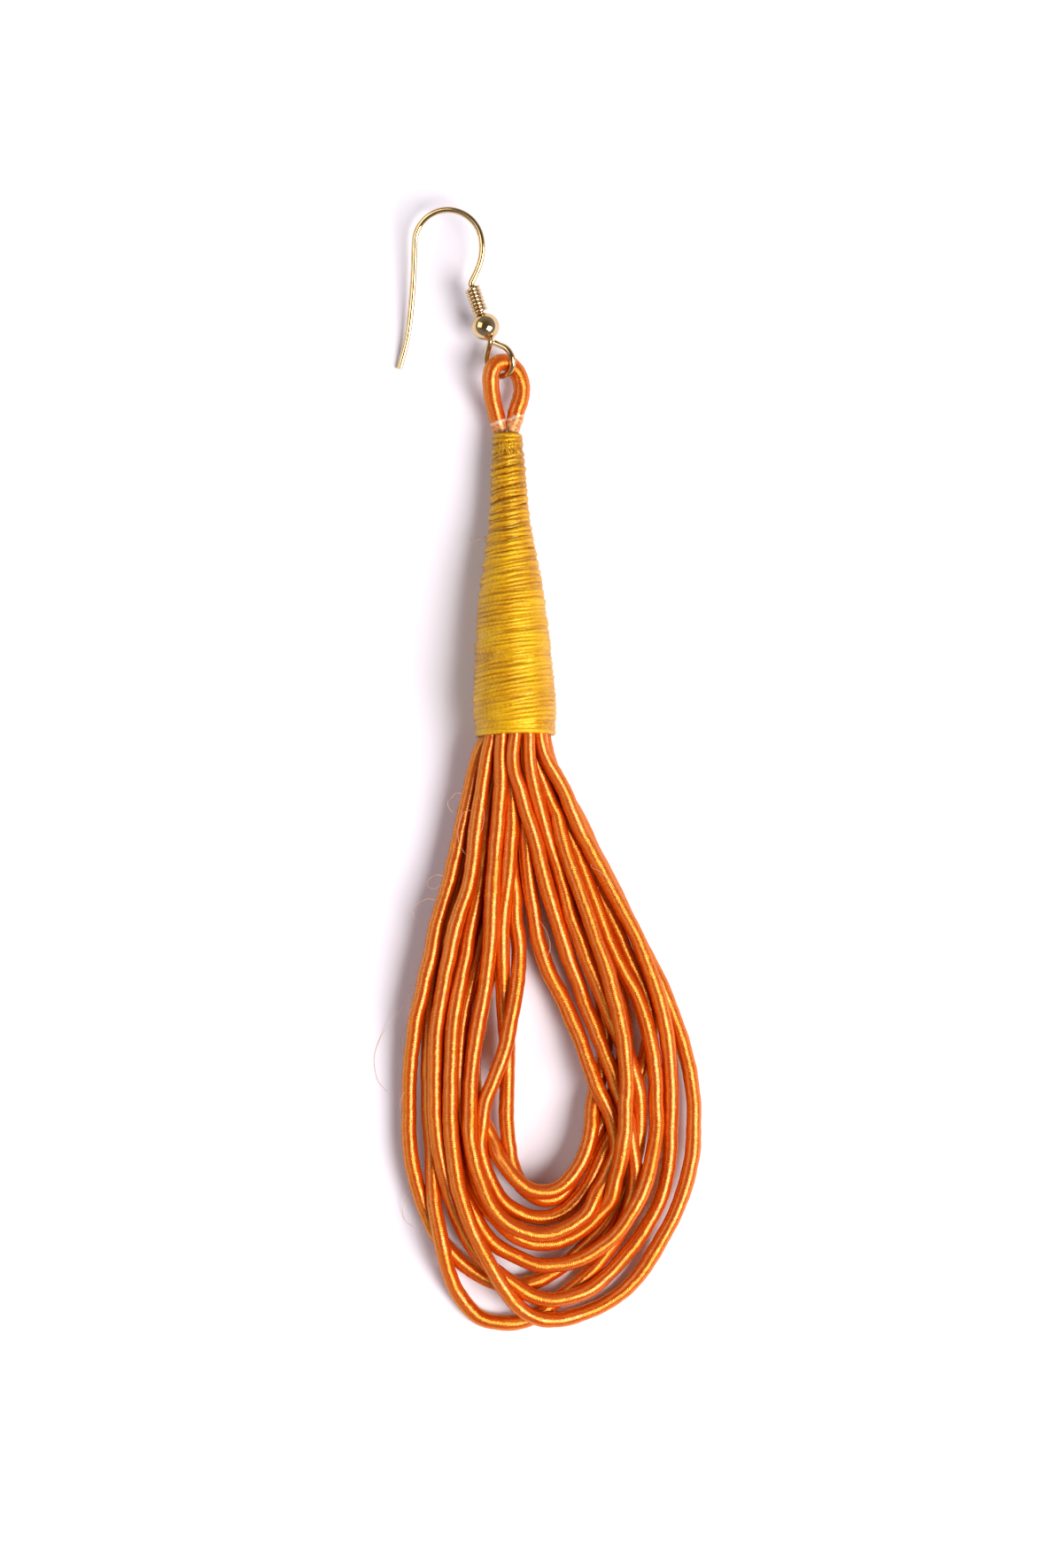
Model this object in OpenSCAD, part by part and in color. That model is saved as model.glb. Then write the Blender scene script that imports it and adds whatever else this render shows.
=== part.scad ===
// Drop earring: a plain wire ear hook with a coil and a ball, a cord eye,
// a wound thread neck and a tassel of loose cord loops. It lies flat on its back.
// X runs across the earring, Y along it towards the hook, Z up from the surface it lies on.

/* [Ear wire] */
// Thickness of the ear wire
wire_d = 0.7; // [0.6:0.05:0.8]
// Diameter of the ball on the shank
ball_d = 3.1; // [2.9:0.05:3.1]
// Outer diameter of the coil above the ball
coil_d = 1.8; // [1.6:0.05:1.9]
// Turns of fine wire in the coil
coil_turns = 8; // [7:1:10]

/* [Cord and thread] */
// Diameter of the satin cord where it lies loose
cord_d = 1.75; // [1.6:0.05:2.05]
// Diameter of the satin cord where the binding squeezes it
bound_d = 1.5; // [1.3:0.05:1.5]
// Thickness of the wound thread
thread_wall = 0.4; // [0.3:0.05:0.4]

/* [Hidden] */
$fn = 48;
gap = 0.05;

gold = [0.83, 0.66, 0.33];
orange = [0.88, 0.37, 0.05];
yellow = [0.85, 0.65, 0.12];

// The shank starts at the foot of the ball, at the neck of the teardrop eye. The stiff neck and
// the cord eye hold it level, clear of the surface, and the hook dips until its tail's end touches.
shank_foot = [1.6, 14.8, 3.4];
shank_angle = 109;
shank_len = 6.6;
ball_along = 1.75;
coil_along = 3.2;
coil_len = 3.4;
coil_wire_d = coil_len / coil_turns;

// Moves that bend the wire from the top of the coil to the tip of the tail.
// Columns: bend radius (0 is a straight run), then degrees of bend or length of the run.
hook_moves = [
    [0.6, -45],
    [0, 1.3],
    [5.9, 36],
    [4.0, 80],
    [3.6, 88],
    [0, 2.2],
    [80, -5],
    [20, -9],
    [0, 2.0]
];

// The teardrop eye is a round loop with two straight legs that meet at the neck.
// It is turned about its own length, so its right side passes over the cord.
eye_r = 1.75;
eye_reach = 2.4;
eye_angle = 295;
eye_turn = 36;
eye_half = asin(eye_r / eye_reach);
eye_leg = eye_reach * cos(eye_half);

// Where the wound neck lies: the middle of its mouth, and the way its length runs.
mouth = [4.4, -29.7, 4.94];
neck_heading = 91.6;
neck_rise = -4;
// Outline of the wound neck. Columns: distance from the mouth, outer radius.
neck_outline = [
    [0, 4.45],
    [1.2, 4.6],
    [2.8, 4.65],
    [4.8, 4.58],
    [7.9, 4.4],
    [11.0, 4.15],
    [14.0, 3.85],
    [17.3, 3.5],
    [19.0, 3.2],
    [20.7, 2.92],
    [23.9, 2.4],
    [27.3, 2.1],
    [31.0, 1.92],
    [34.4, 1.65]
];
// The hidden core of bound cord ends fills the neck between these distances from the mouth.
core_start = 6;
core_end = 31;

// The cord eye: its legs leave the top of the neck side by side, pressed thinner there.
eye_cord_d = 1.9;
eye_bound_d = 1.1;
eye_leg_side = 0.6;
eye_swell_from = 4.6;
eye_swell_to = 6.1;
// Route of the eye from its left leg round to its right. Columns: x, y and z of the centre line.
eye_route = [
    [2.7, 5.0, 2.5], [2.3, 6.4, 2.6], [1.9, 8.0, 3.1], [1.65, 9.6, 3.8], [1.65, 11.0, 4.2],
    [2.05, 12.0, 4.1], [2.8, 12.45, 3.5], [3.65, 12.35, 2.7], [4.4, 11.65, 2.4], [4.9, 10.7, 2.35],
    [5.1, 9.6, 2.3], [4.95, 8.4, 2.3], [4.55, 7.2, 2.4], [4.3, 6.2, 2.4], [4.0, 5.0, 2.5]
];

// Places of the cord legs in the mouth: one on each slot of two rings.
outer_slots = 13;
outer_ring = neck_outline[0][1] - thread_wall - gap - bound_d / 2;
inner_slots = 7;
inner_ring = 1.78;
core_gap_start = core_start - gap;

// Distance below the mouth over which the squeezed cord swells to its full thickness
swell = 15;
rings_per_step = 2;
cord_sides = 8;
wire_sides = 12;

// Routes of the loops outside the neck. Columns: x, y and z of the cord's centre line.
// Each starts under the mouth on the left, runs down, round and back up on the right.
route_01 = [
    [0.3, -31.6, 5.1], [-0.6, -34.8, 4.4], [-1.6, -39.5, 3.8], [-2.7, -44.5, 3.2], [-4.1, -49.5, 3.0],
    [-5.5, -56.0, 2.9], [-6.7, -61.0, 2.5], [-7.4, -66.0, 1.6], [-7.6, -71.5, 1.05], [-7.4, -76.5, 1.05],
    [-6.5, -81.0, 1.05], [-4.8, -85.2, 1.05], [-2.9, -87.9, 1.05], [-1.0, -89.6, 1.05], [1.4, -91.0, 1.05],
    [4.2, -91.7, 1.05], [6.9, -91.1, 1.05], [9.5, -89.5, 1.05], [12.2, -87.2, 1.05], [14.9, -84.2, 1.05],
    [16.7, -80.9, 1.05], [17.9, -77.0, 1.1], [18.4, -72.3, 2.0], [18.0, -68.7, 2.9], [16.9, -65.3, 3.0],
    [15.4, -61.8, 3.0], [13.8, -58.0, 3.0], [12.2, -54.0, 3.1], [10.4, -49.0, 3.1], [8.9, -43.8, 3.5],
    [7.6, -39.2, 5.0], [6.6, -35.5, 6.6], [6.0, -32.3, 7.5]
];
route_02 = [
    [0.6, -31.6, 3.2], [-0.1, -35.5, 2.3], [-0.7, -39.5, 1.6], [-1.6, -44.0, 1.15], [-2.7, -48.5, 1.05],
    [-4.0, -52.5, 1.05], [-4.9, -57.0, 1.05], [-5.4, -62.0, 1.05], [-5.4, -66.8, 1.05], [-5.3, -71.5, 1.05],
    [-5.0, -76.3, 1.1], [-4.9, -80.5, 1.7], [-4.5, -83.7, 2.5], [-3.9, -86.6, 3.0], [-3.2, -89.8, 2.4],
    [-2.0, -92.7, 1.4], [-0.2, -94.9, 1.05], [2.0, -95.8, 1.05], [4.4, -95.9, 1.05], [6.8, -95.0, 1.05],
    [9.2, -93.3, 1.05], [11.7, -91.2, 1.05], [14.2, -88.4, 1.05], [16.2, -85.2, 1.3], [17.4, -82.0, 2.5],
    [17.9, -79.3, 2.7], [17.6, -76.4, 3.2], [16.9, -73.0, 3.1], [16.0, -69.5, 3.0], [14.8, -66.2, 2.9],
    [13.3, -62.5, 2.3], [12.0, -59.0, 1.7], [10.5, -54.8, 2.2], [9.1, -50.5, 3.2], [7.7, -45.6, 4.3],
    [6.4, -40.3, 5.6], [5.3, -36.8, 6.5], [4.3, -33.6, 7.4], [4.1, -31.6, 8.0]
];
route_03 = [
    [1.2, -32.0, 6.5], [0.6, -35.5, 5.9], [0.1, -39.0, 5.2], [-0.3, -43.0, 4.7], [-0.9, -46.5, 4.4],
    [-2.1, -50.3, 4.4], [-3.0, -54.0, 4.0], [-3.7, -58.0, 3.5], [-4.4, -62.0, 3.1], [-4.7, -66.5, 3.0],
    [-4.7, -71.0, 3.0], [-4.3, -75.5, 2.9], [-3.5, -79.5, 2.4], [-2.2, -83.7, 1.6], [-0.5, -87.0, 2.2],
    [1.4, -89.2, 2.9], [3.6, -91.0, 3.1], [6.0, -92.5, 3.1], [8.8, -93.1, 3.1], [11.7, -92.4, 2.6],
    [14.6, -90.6, 1.6], [17.2, -87.7, 1.05], [19.5, -84.3, 1.05], [21.0, -81.0, 1.05], [21.7, -77.0, 1.05],
    [21.9, -72.5, 1.2], [21.9, -68.5, 1.8], [21.6, -64.5, 2.6], [20.9, -60.5, 3.0], [19.7, -56.5, 3.1],
    [17.9, -52.0, 3.2], [15.7, -47.7, 3.4], [13.7, -44.0, 4.0], [11.9, -40.5, 4.6], [10.4, -37.0, 5.8],
    [8.9, -34.0, 6.1], [7.6, -31.6, 6.6]
];
route_04 = [
    [2.3, -31.6, 5.0], [1.7, -35.0, 4.3], [1.1, -38.5, 3.7], [0.7, -42.5, 3.3], [0.3, -46.5, 3.1],
    [-0.5, -50.0, 3.0], [-1.2, -54.0, 3.0], [-2.0, -58.0, 3.1], [-2.6, -62.0, 3.4], [-2.8, -66.5, 3.7],
    [-2.9, -71.0, 3.6], [-2.7, -75.5, 3.7], [-2.1, -79.7, 3.9], [-0.9, -84.0, 4.1], [0.3, -86.8, 4.2],
    [1.6, -89.2, 4.8], [3.1, -91.7, 4.6], [4.7, -93.7, 3.7], [6.5, -95.0, 3.0], [9.2, -95.5, 2.0],
    [12.2, -94.8, 1.1], [15.2, -93.3, 1.05], [17.9, -91.0, 1.05], [20.2, -87.5, 1.05], [22.1, -84.0, 1.05],
    [23.5, -80.5, 1.05], [24.3, -76.5, 1.05], [24.5, -72.5, 1.05], [24.2, -68.5, 1.05], [23.3, -64.7, 1.05],
    [22.2, -61.3, 1.05], [20.8, -57.7, 1.05], [19.0, -54.0, 1.05], [17.2, -50.5, 1.1], [15.4, -46.8, 1.1],
    [13.4, -43.0, 1.6], [11.8, -39.5, 2.7], [10.1, -36.5, 3.9], [8.4, -33.3, 4.6]
];
route_05 = [
    [1.8, -32.3, 1.9], [1.2, -37.0, 1.2], [0.6, -42.0, 1.05], [-0.1, -47.0, 1.05], [-1.2, -51.5, 1.05],
    [-2.4, -56.0, 1.05], [-3.3, -60.5, 1.05], [-3.7, -65.5, 1.05], [-3.6, -70.5, 1.05], [-3.0, -75.0, 1.05],
    [-1.9, -79.5, 1.2], [-0.4, -83.2, 1.6], [1.4, -86.2, 2.0], [4.1, -88.1, 2.2], [7.0, -89.1, 2.9],
    [10.0, -89.0, 3.1], [13.0, -87.7, 3.2], [15.8, -85.4, 3.6], [18.0, -82.0, 4.3], [19.5, -78.0, 3.6],
    [20.2, -74.0, 2.4], [20.2, -70.0, 2.4], [19.9, -66.0, 3.0], [19.1, -61.8, 3.1], [17.8, -58.5, 3.1],
    [15.9, -55.0, 3.1], [14.4, -51.5, 3.0], [13.0, -47.5, 3.0], [11.3, -43.0, 3.0], [9.4, -38.5, 3.0],
    [8.0, -34.5, 3.2], [7.5, -31.6, 3.4]
];
route_06 = [
    [2.9, -31.8, 3.5], [2.6, -36.0, 2.7], [2.5, -41.0, 1.4], [2.0, -46.0, 1.05], [0.9, -51.0, 1.05],
    [-0.3, -56.0, 1.1], [-1.5, -61.0, 1.5], [-2.0, -66.0, 1.8], [-1.9, -71.0, 1.6], [-1.3, -76.0, 1.5],
    [0.2, -80.5, 2.0], [2.3, -84.0, 2.2], [4.8, -86.2, 2.0], [7.5, -86.8, 1.9], [10.2, -86.2, 1.8],
    [12.6, -84.7, 1.8], [14.6, -82.0, 2.7], [15.9, -78.5, 4.0], [16.6, -74.5, 5.0], [16.8, -70.5, 5.1],
    [16.8, -66.5, 5.0], [16.3, -62.5, 5.0], [15.4, -58.5, 5.0], [14.2, -54.5, 4.9], [12.8, -50.5, 4.7],
    [11.4, -46.5, 4.5], [9.9, -42.0, 4.5], [8.6, -38.0, 4.8], [7.4, -34.5, 5.1], [6.4, -31.6, 5.3]
];
route_07 = [
    [2.8, -31.6, 7.4], [2.8, -35.0, 6.6], [2.5, -39.0, 5.7], [2.1, -43.5, 5.0], [1.9, -48.0, 4.8],
    [1.6, -52.5, 4.2], [1.1, -57.0, 3.5], [0.3, -61.5, 3.1], [-0.4, -66.0, 3.0], [-0.7, -71.0, 3.0],
    [-0.4, -76.0, 3.4], [0.7, -80.3, 3.8], [2.6, -83.6, 3.9], [5.0, -85.1, 3.8], [7.7, -85.6, 3.7],
    [10.4, -84.7, 3.6], [12.6, -82.9, 3.3], [14.3, -80.0, 2.5], [15.5, -77.0, 2.3], [15.7, -74.2, 2.6],
    [15.0, -71.8, 2.9], [13.7, -69.3, 3.0], [12.5, -66.0, 2.5], [11.3, -62.8, 1.6], [9.8, -59.3, 1.1],
    [8.1, -56.0, 1.05], [7.0, -52.5, 1.4], [6.3, -48.5, 2.4], [5.7, -44.5, 3.4], [5.4, -40.5, 3.9],
    [5.3, -36.5, 4.6], [5.2, -32.5, 6.0]
];
route_08 = [
    [4.4, -31.8, 3.1], [4.2, -36.0, 3.0], [4.0, -41.0, 3.1], [4.1, -46.0, 2.7], [4.4, -50.0, 2.2],
    [4.8, -54.0, 1.5], [4.6, -57.5, 2.5], [3.9, -61.5, 3.1], [3.2, -65.0, 3.1], [2.0, -68.2, 3.0],
    [0.9, -71.2, 2.6], [0.4, -74.8, 2.2], [0.9, -78.4, 1.9], [2.3, -81.2, 1.8], [4.6, -83.2, 1.6],
    [7.3, -83.9, 1.5], [9.9, -83.1, 1.2], [12.0, -80.9, 1.3], [13.6, -77.8, 1.5], [15.0, -74.8, 1.3],
    [16.4, -71.8, 1.05], [18.0, -68.4, 1.05], [19.2, -65.0, 1.05], [19.6, -61.5, 1.05], [18.8, -58.0, 1.05],
    [17.1, -54.5, 1.05], [15.2, -50.3, 1.05], [13.1, -46.0, 1.05], [11.2, -42.0, 1.05], [9.4, -38.0, 1.1],
    [7.7, -34.5, 1.5], [6.9, -31.8, 2.1]
];
route_09 = [
    [3.8, -31.8, 6.2], [4.0, -36.0, 5.2], [3.9, -41.0, 5.0], [3.4, -46.0, 4.3], [2.9, -50.5, 3.4],
    [2.9, -54.5, 2.6], [3.0, -58.5, 1.2], [3.3, -62.5, 1.05], [3.5, -66.5, 1.05], [3.4, -70.5, 1.05],
    [3.5, -74.5, 1.05], [3.9, -77.8, 1.05], [5.4, -80.6, 1.05], [7.5, -81.9, 1.05], [9.6, -81.2, 1.05],
    [11.3, -79.0, 1.05], [12.7, -76.0, 1.05], [14.4, -72.7, 1.05], [15.9, -69.0, 1.05], [16.7, -65.0, 1.05],
    [16.6, -61.0, 1.05], [15.6, -57.0, 1.05], [14.0, -53.0, 1.3], [12.4, -49.0, 1.4], [10.7, -45.0, 1.3],
    [9.1, -41.0, 1.1], [7.4, -37.0, 1.2], [5.9, -33.5, 1.5], [5.3, -31.6, 1.7]
];
route_10 = [
    [3.7, -31.8, 1.7], [3.9, -36.5, 1.1], [4.0, -41.5, 1.05], [3.7, -46.5, 1.05], [2.5, -51.5, 1.05],
    [1.3, -56.5, 1.05], [0.4, -61.5, 1.05], [-0.4, -66.5, 1.05], [0.1, -71.0, 1.05], [1.4, -74.6, 1.1],
    [2.6, -77.0, 2.1], [4.2, -79.1, 3.1], [6.2, -80.6, 3.2], [8.4, -80.7, 3.1], [10.3, -79.5, 3.1],
    [11.9, -77.2, 3.0], [12.9, -74.2, 2.8], [13.2, -71.0, 1.9], [14.0, -67.5, 1.05], [14.6, -63.8, 1.05],
    [14.3, -60.0, 1.05], [13.2, -56.0, 1.05], [11.7, -52.0, 1.05], [10.0, -47.5, 1.05], [8.4, -43.0, 1.5],
    [7.1, -38.5, 2.6], [6.2, -34.5, 3.4], [5.8, -31.6, 3.8]
];

// One point between the second and third of four route points, on a smooth curve through all.
function smooth_point(a, b, c, d, t) =
    (2 * b + (c - a) * t + (2 * a - 5 * b + 4 * c - d) * t * t + (3 * b - a - 3 * c + d) * t * t * t) / 2;

// A route with extra points between its own, on the smooth curve through them.
function smooth_route(p, steps) = concat(
    [for (i = [0:len(p) - 2]) for (k = [0:steps - 1])
        smooth_point(p[max(i - 1, 0)], p[i], p[i + 1], p[min(i + 2, len(p) - 1)], k / steps)],
    [p[len(p) - 1]]);

function unit(v) = v / norm(v);
function run_of(p, i) = unit(p[min(i + 1, len(p) - 1)] - p[max(i - 1, 0)]);

// One ring of the tube about a route point.
function ring(centre, run, r, sides) =
    let (side = unit(cross(run, [0, 0, 1])), up = cross(side, run))
    [for (k = [0:sides - 1]) centre + r * (cos(360 * k / sides) * up + sin(360 * k / sides) * side)];

// A closed tube along a route, with the radius of each ring from a list.
module tube(route, radii, sides = cord_sides) {
    last = len(route) - 1;
    points = [for (i = [0:last]) each ring(route[i], run_of(route, i), radii[i], sides)];
    walls = [for (i = [0:last - 1]) for (k = [0:sides - 1]) let (m = (k + 1) % sides)
        each [[i * sides + k, (i + 1) * sides + k, (i + 1) * sides + m],
            [i * sides + k, (i + 1) * sides + m, i * sides + m]]];
    start_cap = [for (k = [0:sides - 1]) k];
    end_cap = [for (k = [0:sides - 1]) last * sides + sides - 1 - k];
    polyhedron(points, concat(walls, [start_cap], [end_cap]));
}

// Directions at the mouth of the neck: along it, across it and up from it.
neck_run = [cos(neck_heading) * cos(neck_rise), sin(neck_heading) * cos(neck_rise), sin(neck_rise)];
neck_side = [sin(neck_heading), -cos(neck_heading), 0];
neck_up = cross(neck_side, neck_run);
function in_neck(along, across, up) = mouth + along * neck_run + across * neck_side + up * neck_up;

// Slot of a cord leg in the mouth. Slots from 0 lie on the outer ring from the top round to the right,
// slots from 20 on the inner ring.
function slot_angle(slot) = slot < 20 ? 90 - 360 * slot / outer_slots : 90 - 360 * (slot - 20.5) / inner_slots;
function slot_point(slot, along) =
    let (r = slot < 20 ? outer_ring : inner_ring)
    in_neck(along, r * cos(slot_angle(slot)), r * sin(slot_angle(slot)));

function leg_in(slot) = [slot_point(slot, core_gap_start), slot_point(slot, 3), slot_point(slot, 0.3)];
function leg_out(slot) = [slot_point(slot, 0.3), slot_point(slot, 3), slot_point(slot, core_gap_start)];

// Radius of the loose cord, squeezed where the neck holds it.
function swell_part(y) = max(0, min(1, (mouth[1] - y) / swell));
function looseness(y) = swell_part(y) * (2 - swell_part(y));
function loose_r(y) = (bound_d + (cord_d - bound_d) * looseness(y)) / 2;

// The springy loops arch a little clear of the surface between the mouth and their low ends.
arch = 1.5;
function eased(t) = let (u = max(0, min(1, t))) u * u * (3 - 2 * u);
function arch_at(y) = arch * eased((-34 - y) / 18) * eased((y + 95) / 12);

// The routes are drawn for the thickest cord. Thinner cords lie lower where they are stacked.
drawn_d = 2.05;
function settled_z(y, z) = z * (1 - (1 - cord_d / drawn_d) * looseness(y)) + arch_at(y);
function settled(p) = [p[0], p[1], settled_z(p[1], p[2])];

// A cord loop from its left slot in the mouth, round and back into its right slot.
module cord_loop(left_slot, route, right_slot) {
    path = smooth_route(concat(leg_in(left_slot), [for (p = route) settled(p)], leg_out(right_slot)), rings_per_step);
    color(orange) tube(path, [for (p = path) loose_r(p[1])]);
}

// Points of a wire bent by one move after another, from where it stands and the way it heads.
function bent(moves, i, at, heading) = i >= len(moves) ? [] :
    let (r = moves[i][0], amount = moves[i][1], side = amount < 0 ? -1 : 1,
        steps = r == 0 ? ceil(amount / 1.6) : max(2, ceil(abs(amount) / 11)),
        points = [for (k = [1:steps]) let (now = heading + amount * k / steps) r == 0
            ? at + amount * k / steps * [cos(heading), sin(heading), 0]
            : at + side * r * [sin(now) - sin(heading), cos(heading) - cos(now), 0]])
    concat(points, bent(moves, i + 1, points[steps - 1], r == 0 ? heading : heading + amount));

function turn_z(p, a) = [p[0] * cos(a) - p[1] * sin(a), p[0] * sin(a) + p[1] * cos(a), p[2]];
function turn_x(p, a) = [p[0], p[1] * cos(a) - p[2] * sin(a), p[1] * sin(a) + p[2] * cos(a)];

// The teardrop eye from the wire's end, which is pressed against the neck, round to the neck.
eye_end = 0.45;
eye_bend = [for (a = [90 + eye_half:-(180 + 2 * eye_half) / 24:-90.1 - eye_half])
    [eye_reach + eye_r * cos(a), eye_r * sin(a), 0]];
eye_wire = concat([eye_end * [cos(eye_half), sin(eye_half), 0]], eye_bend, [[0, 0, 0]]);
eye_level = [for (p = eye_wire) turn_z(turn_x(p, eye_turn), eye_angle) + shank_foot];

// The hook drawn level, then dipped about the line of its shank, more with the distance from it.
hook_level = bent(concat([[0, shank_len]], hook_moves), 0, shank_foot, shank_angle);
function out_of_shank(p) = (p - shank_foot) * [-sin(shank_angle), cos(shank_angle), 0];
hook_dip = (shank_foot[2] - wire_d / 2) / out_of_shank(hook_level[len(hook_level) - 1]);
hook_route = concat(eye_level, [for (p = hook_level) p - [0, 0, hook_dip * out_of_shank(p)]]);

// Puts what is drawn standing on its end on the shank, with its lower end a distance from the foot.
module lay_on_shank(along) {
    translate(shank_foot) rotate([0, 90, shank_angle]) translate([0, 0, along]) children();
}

module ear_hook() {
    color(gold) tube(hook_route, [for (p = hook_route) wire_d / 2], wire_sides);
}

// The coil is wound close, so it is shaped as rings that meet on a thin sleeve.
module hook_coil() {
    ring_r = (coil_d - coil_wire_d) / 2;
    color(gold) lay_on_shank(coil_along) rotate_extrude() {
        for (turn = [0:coil_turns - 1])
            translate([ring_r, (turn + 0.5) * coil_wire_d]) circle(d = coil_wire_d);
        translate([wire_d / 2 + gap, coil_wire_d / 2])
            square([ring_r - wire_d / 2 - gap, coil_len - coil_wire_d]);
    }
}

module hook_ball() {
    color(gold) lay_on_shank(ball_along) difference() {
        sphere(d = ball_d);
        translate([0, 0, -ball_d]) cylinder(d = wire_d + 2 * gap, h = 2 * ball_d);
    }
}

// Radius of the eye's cord, pressed thinner where it enters the neck.
function eye_cord_r(y) =
    let (t = max(0, min(1, (y - eye_swell_from) / (eye_swell_to - eye_swell_from))))
    (eye_bound_d + (eye_cord_d - eye_bound_d) * t) / 2;

module eye_cord() {
    path = smooth_route(concat([in_neck(core_end + gap, -eye_leg_side, 0)], eye_route,
        [in_neck(core_end + gap, eye_leg_side, 0)]), rings_per_step);
    color(orange) tube(path, [for (p = path) eye_cord_r(p[1])]);
}

module lay_in_neck() {
    translate(mouth) rotate([0, 90 - neck_rise, neck_heading]) children();
}

// A line of points along the neck, a given depth inside its outline.
function neck_line(depth, from, to) = concat(
    [[lookup(from, neck_outline) - depth, from]],
    [for (row = neck_outline) if (row[0] > from && row[0] < to) [row[1] - depth, row[0]]],
    [[lookup(to, neck_outline) - depth, to]]);
function reversed(list) = [for (i = [len(list) - 1:-1:0]) list[i]];

neck_len = neck_outline[len(neck_outline) - 1][0];

module thread_wrap() {
    color(yellow) lay_in_neck() rotate_extrude()
        polygon(concat(neck_line(0, 0, neck_len), reversed(neck_line(thread_wall, 0, neck_len))));
}

module bound_core() {
    color(orange) lay_in_neck() rotate_extrude()
        polygon(concat(neck_line(thread_wall + gap, core_start, core_end), [[0, core_end], [0, core_start]]));
}

// Each loop joins its left slot to its right slot.
module cord_loop_01() { cord_loop(10, route_01, 1); }
module cord_loop_02() { cord_loop(9, route_02, 0); }
module cord_loop_03() { cord_loop(11, route_03, 2); }
module cord_loop_04() { cord_loop(26, route_04, 3); }
module cord_loop_05() { cord_loop(8, route_05, 4); }
module cord_loop_06() { cord_loop(25, route_06, 22); }
module cord_loop_07() { cord_loop(12, route_07, 21); }
module cord_loop_08() { cord_loop(24, route_08, 5); }
module cord_loop_09() { cord_loop(20, route_09, 6); }
module cord_loop_10() { cord_loop(7, route_10, 23); }

ear_hook();
hook_coil();
hook_ball();
eye_cord();
thread_wrap();
bound_core();
cord_loop_01();
cord_loop_02();
cord_loop_03();
cord_loop_04();
cord_loop_05();
cord_loop_06();
cord_loop_07();
cord_loop_08();
cord_loop_09();
cord_loop_10();
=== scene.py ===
import math

import bmesh
import bpy
import numpy as np
from mathutils import Matrix, Vector


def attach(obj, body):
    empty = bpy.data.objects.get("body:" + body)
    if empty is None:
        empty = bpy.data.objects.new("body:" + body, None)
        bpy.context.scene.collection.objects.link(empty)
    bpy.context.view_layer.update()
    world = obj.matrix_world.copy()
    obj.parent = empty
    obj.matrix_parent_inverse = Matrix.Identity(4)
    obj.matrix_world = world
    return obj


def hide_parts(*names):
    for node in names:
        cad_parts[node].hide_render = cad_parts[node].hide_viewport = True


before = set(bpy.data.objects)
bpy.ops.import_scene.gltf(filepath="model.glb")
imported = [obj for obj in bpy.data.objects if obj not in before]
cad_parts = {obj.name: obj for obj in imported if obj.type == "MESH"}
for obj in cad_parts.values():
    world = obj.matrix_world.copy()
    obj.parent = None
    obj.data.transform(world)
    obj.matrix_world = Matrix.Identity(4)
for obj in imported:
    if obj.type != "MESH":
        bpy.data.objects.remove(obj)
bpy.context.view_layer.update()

MM = 0.001

# Camera. It looks straight down on the earring, which lies flat on a white table with the hook
# towards the top of the frame, as in the photograph.
bpy.ops.object.select_all(action="DESELECT")
bpy.ops.object.camera_add(location=(6.2 * MM, -35.0 * MM, 493.4 * MM), rotation=(0, 0, 0))
camera = bpy.context.object
camera.name = "camera"
camera.data.lens = 100
camera.data.sensor_width = 36
camera.data.clip_start = 0.01
camera.data.clip_end = 20
bpy.context.scene.camera = camera
bpy.context.scene.view_settings.view_transform = "Standard"
bpy.context.scene.view_settings.look = "None"


# Tassel. Ten loose loops of satin cord, a soft core closely wound with fine shiny orange thread.
# Both legs of each loop go up into the mouth of the neck, where the binding squeezes them.
CORD_D = 1.75
BOUND_D = 1.5

# The measures of all the pieces are in mm. DRAWN_D is the thickness that the routes were drawn for.
# SWELL is how far below the mouth a squeezed cord is back to its full thickness.
DRAWN_D = 2.05
SWELL = 15.0

# The loops arch clear of the table by ARCH between two places along y, and over the run beside each
# of the two the arch grows.
ARCH = 1.5
ARCH_TOP = -34
ARCH_TOP_RUN = 18
ARCH_FOOT = -95
ARCH_FOOT_RUN = 12

# The mouth of the neck, its three directions, and the two rings of cord ends in it.
MOUTH = np.array([4.4, -29.7, 4.94])
NECK_HEADING = math.radians(91.6)
NECK_RISE = math.radians(-4)
NECK_RUN = np.array([math.cos(NECK_HEADING) * math.cos(NECK_RISE),
                     math.sin(NECK_HEADING) * math.cos(NECK_RISE), math.sin(NECK_RISE)])
NECK_SIDE = np.array([math.sin(NECK_HEADING), -math.cos(NECK_HEADING), 0.0])
NECK_UP = np.cross(NECK_SIDE, NECK_RUN)
MOUTH_R = 4.45
THREAD_WALL = 0.4
CLEARANCE = 0.05
OUTER_SLOTS = 13
OUTER_RING = MOUTH_R - THREAD_WALL - CLEARANCE - BOUND_D / 2
FIRST_INNER = 20
INNER_SLOTS = 7
INNER_RING = 1.78
LEG_STOPS = (5.95, 3, 0.3)

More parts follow.
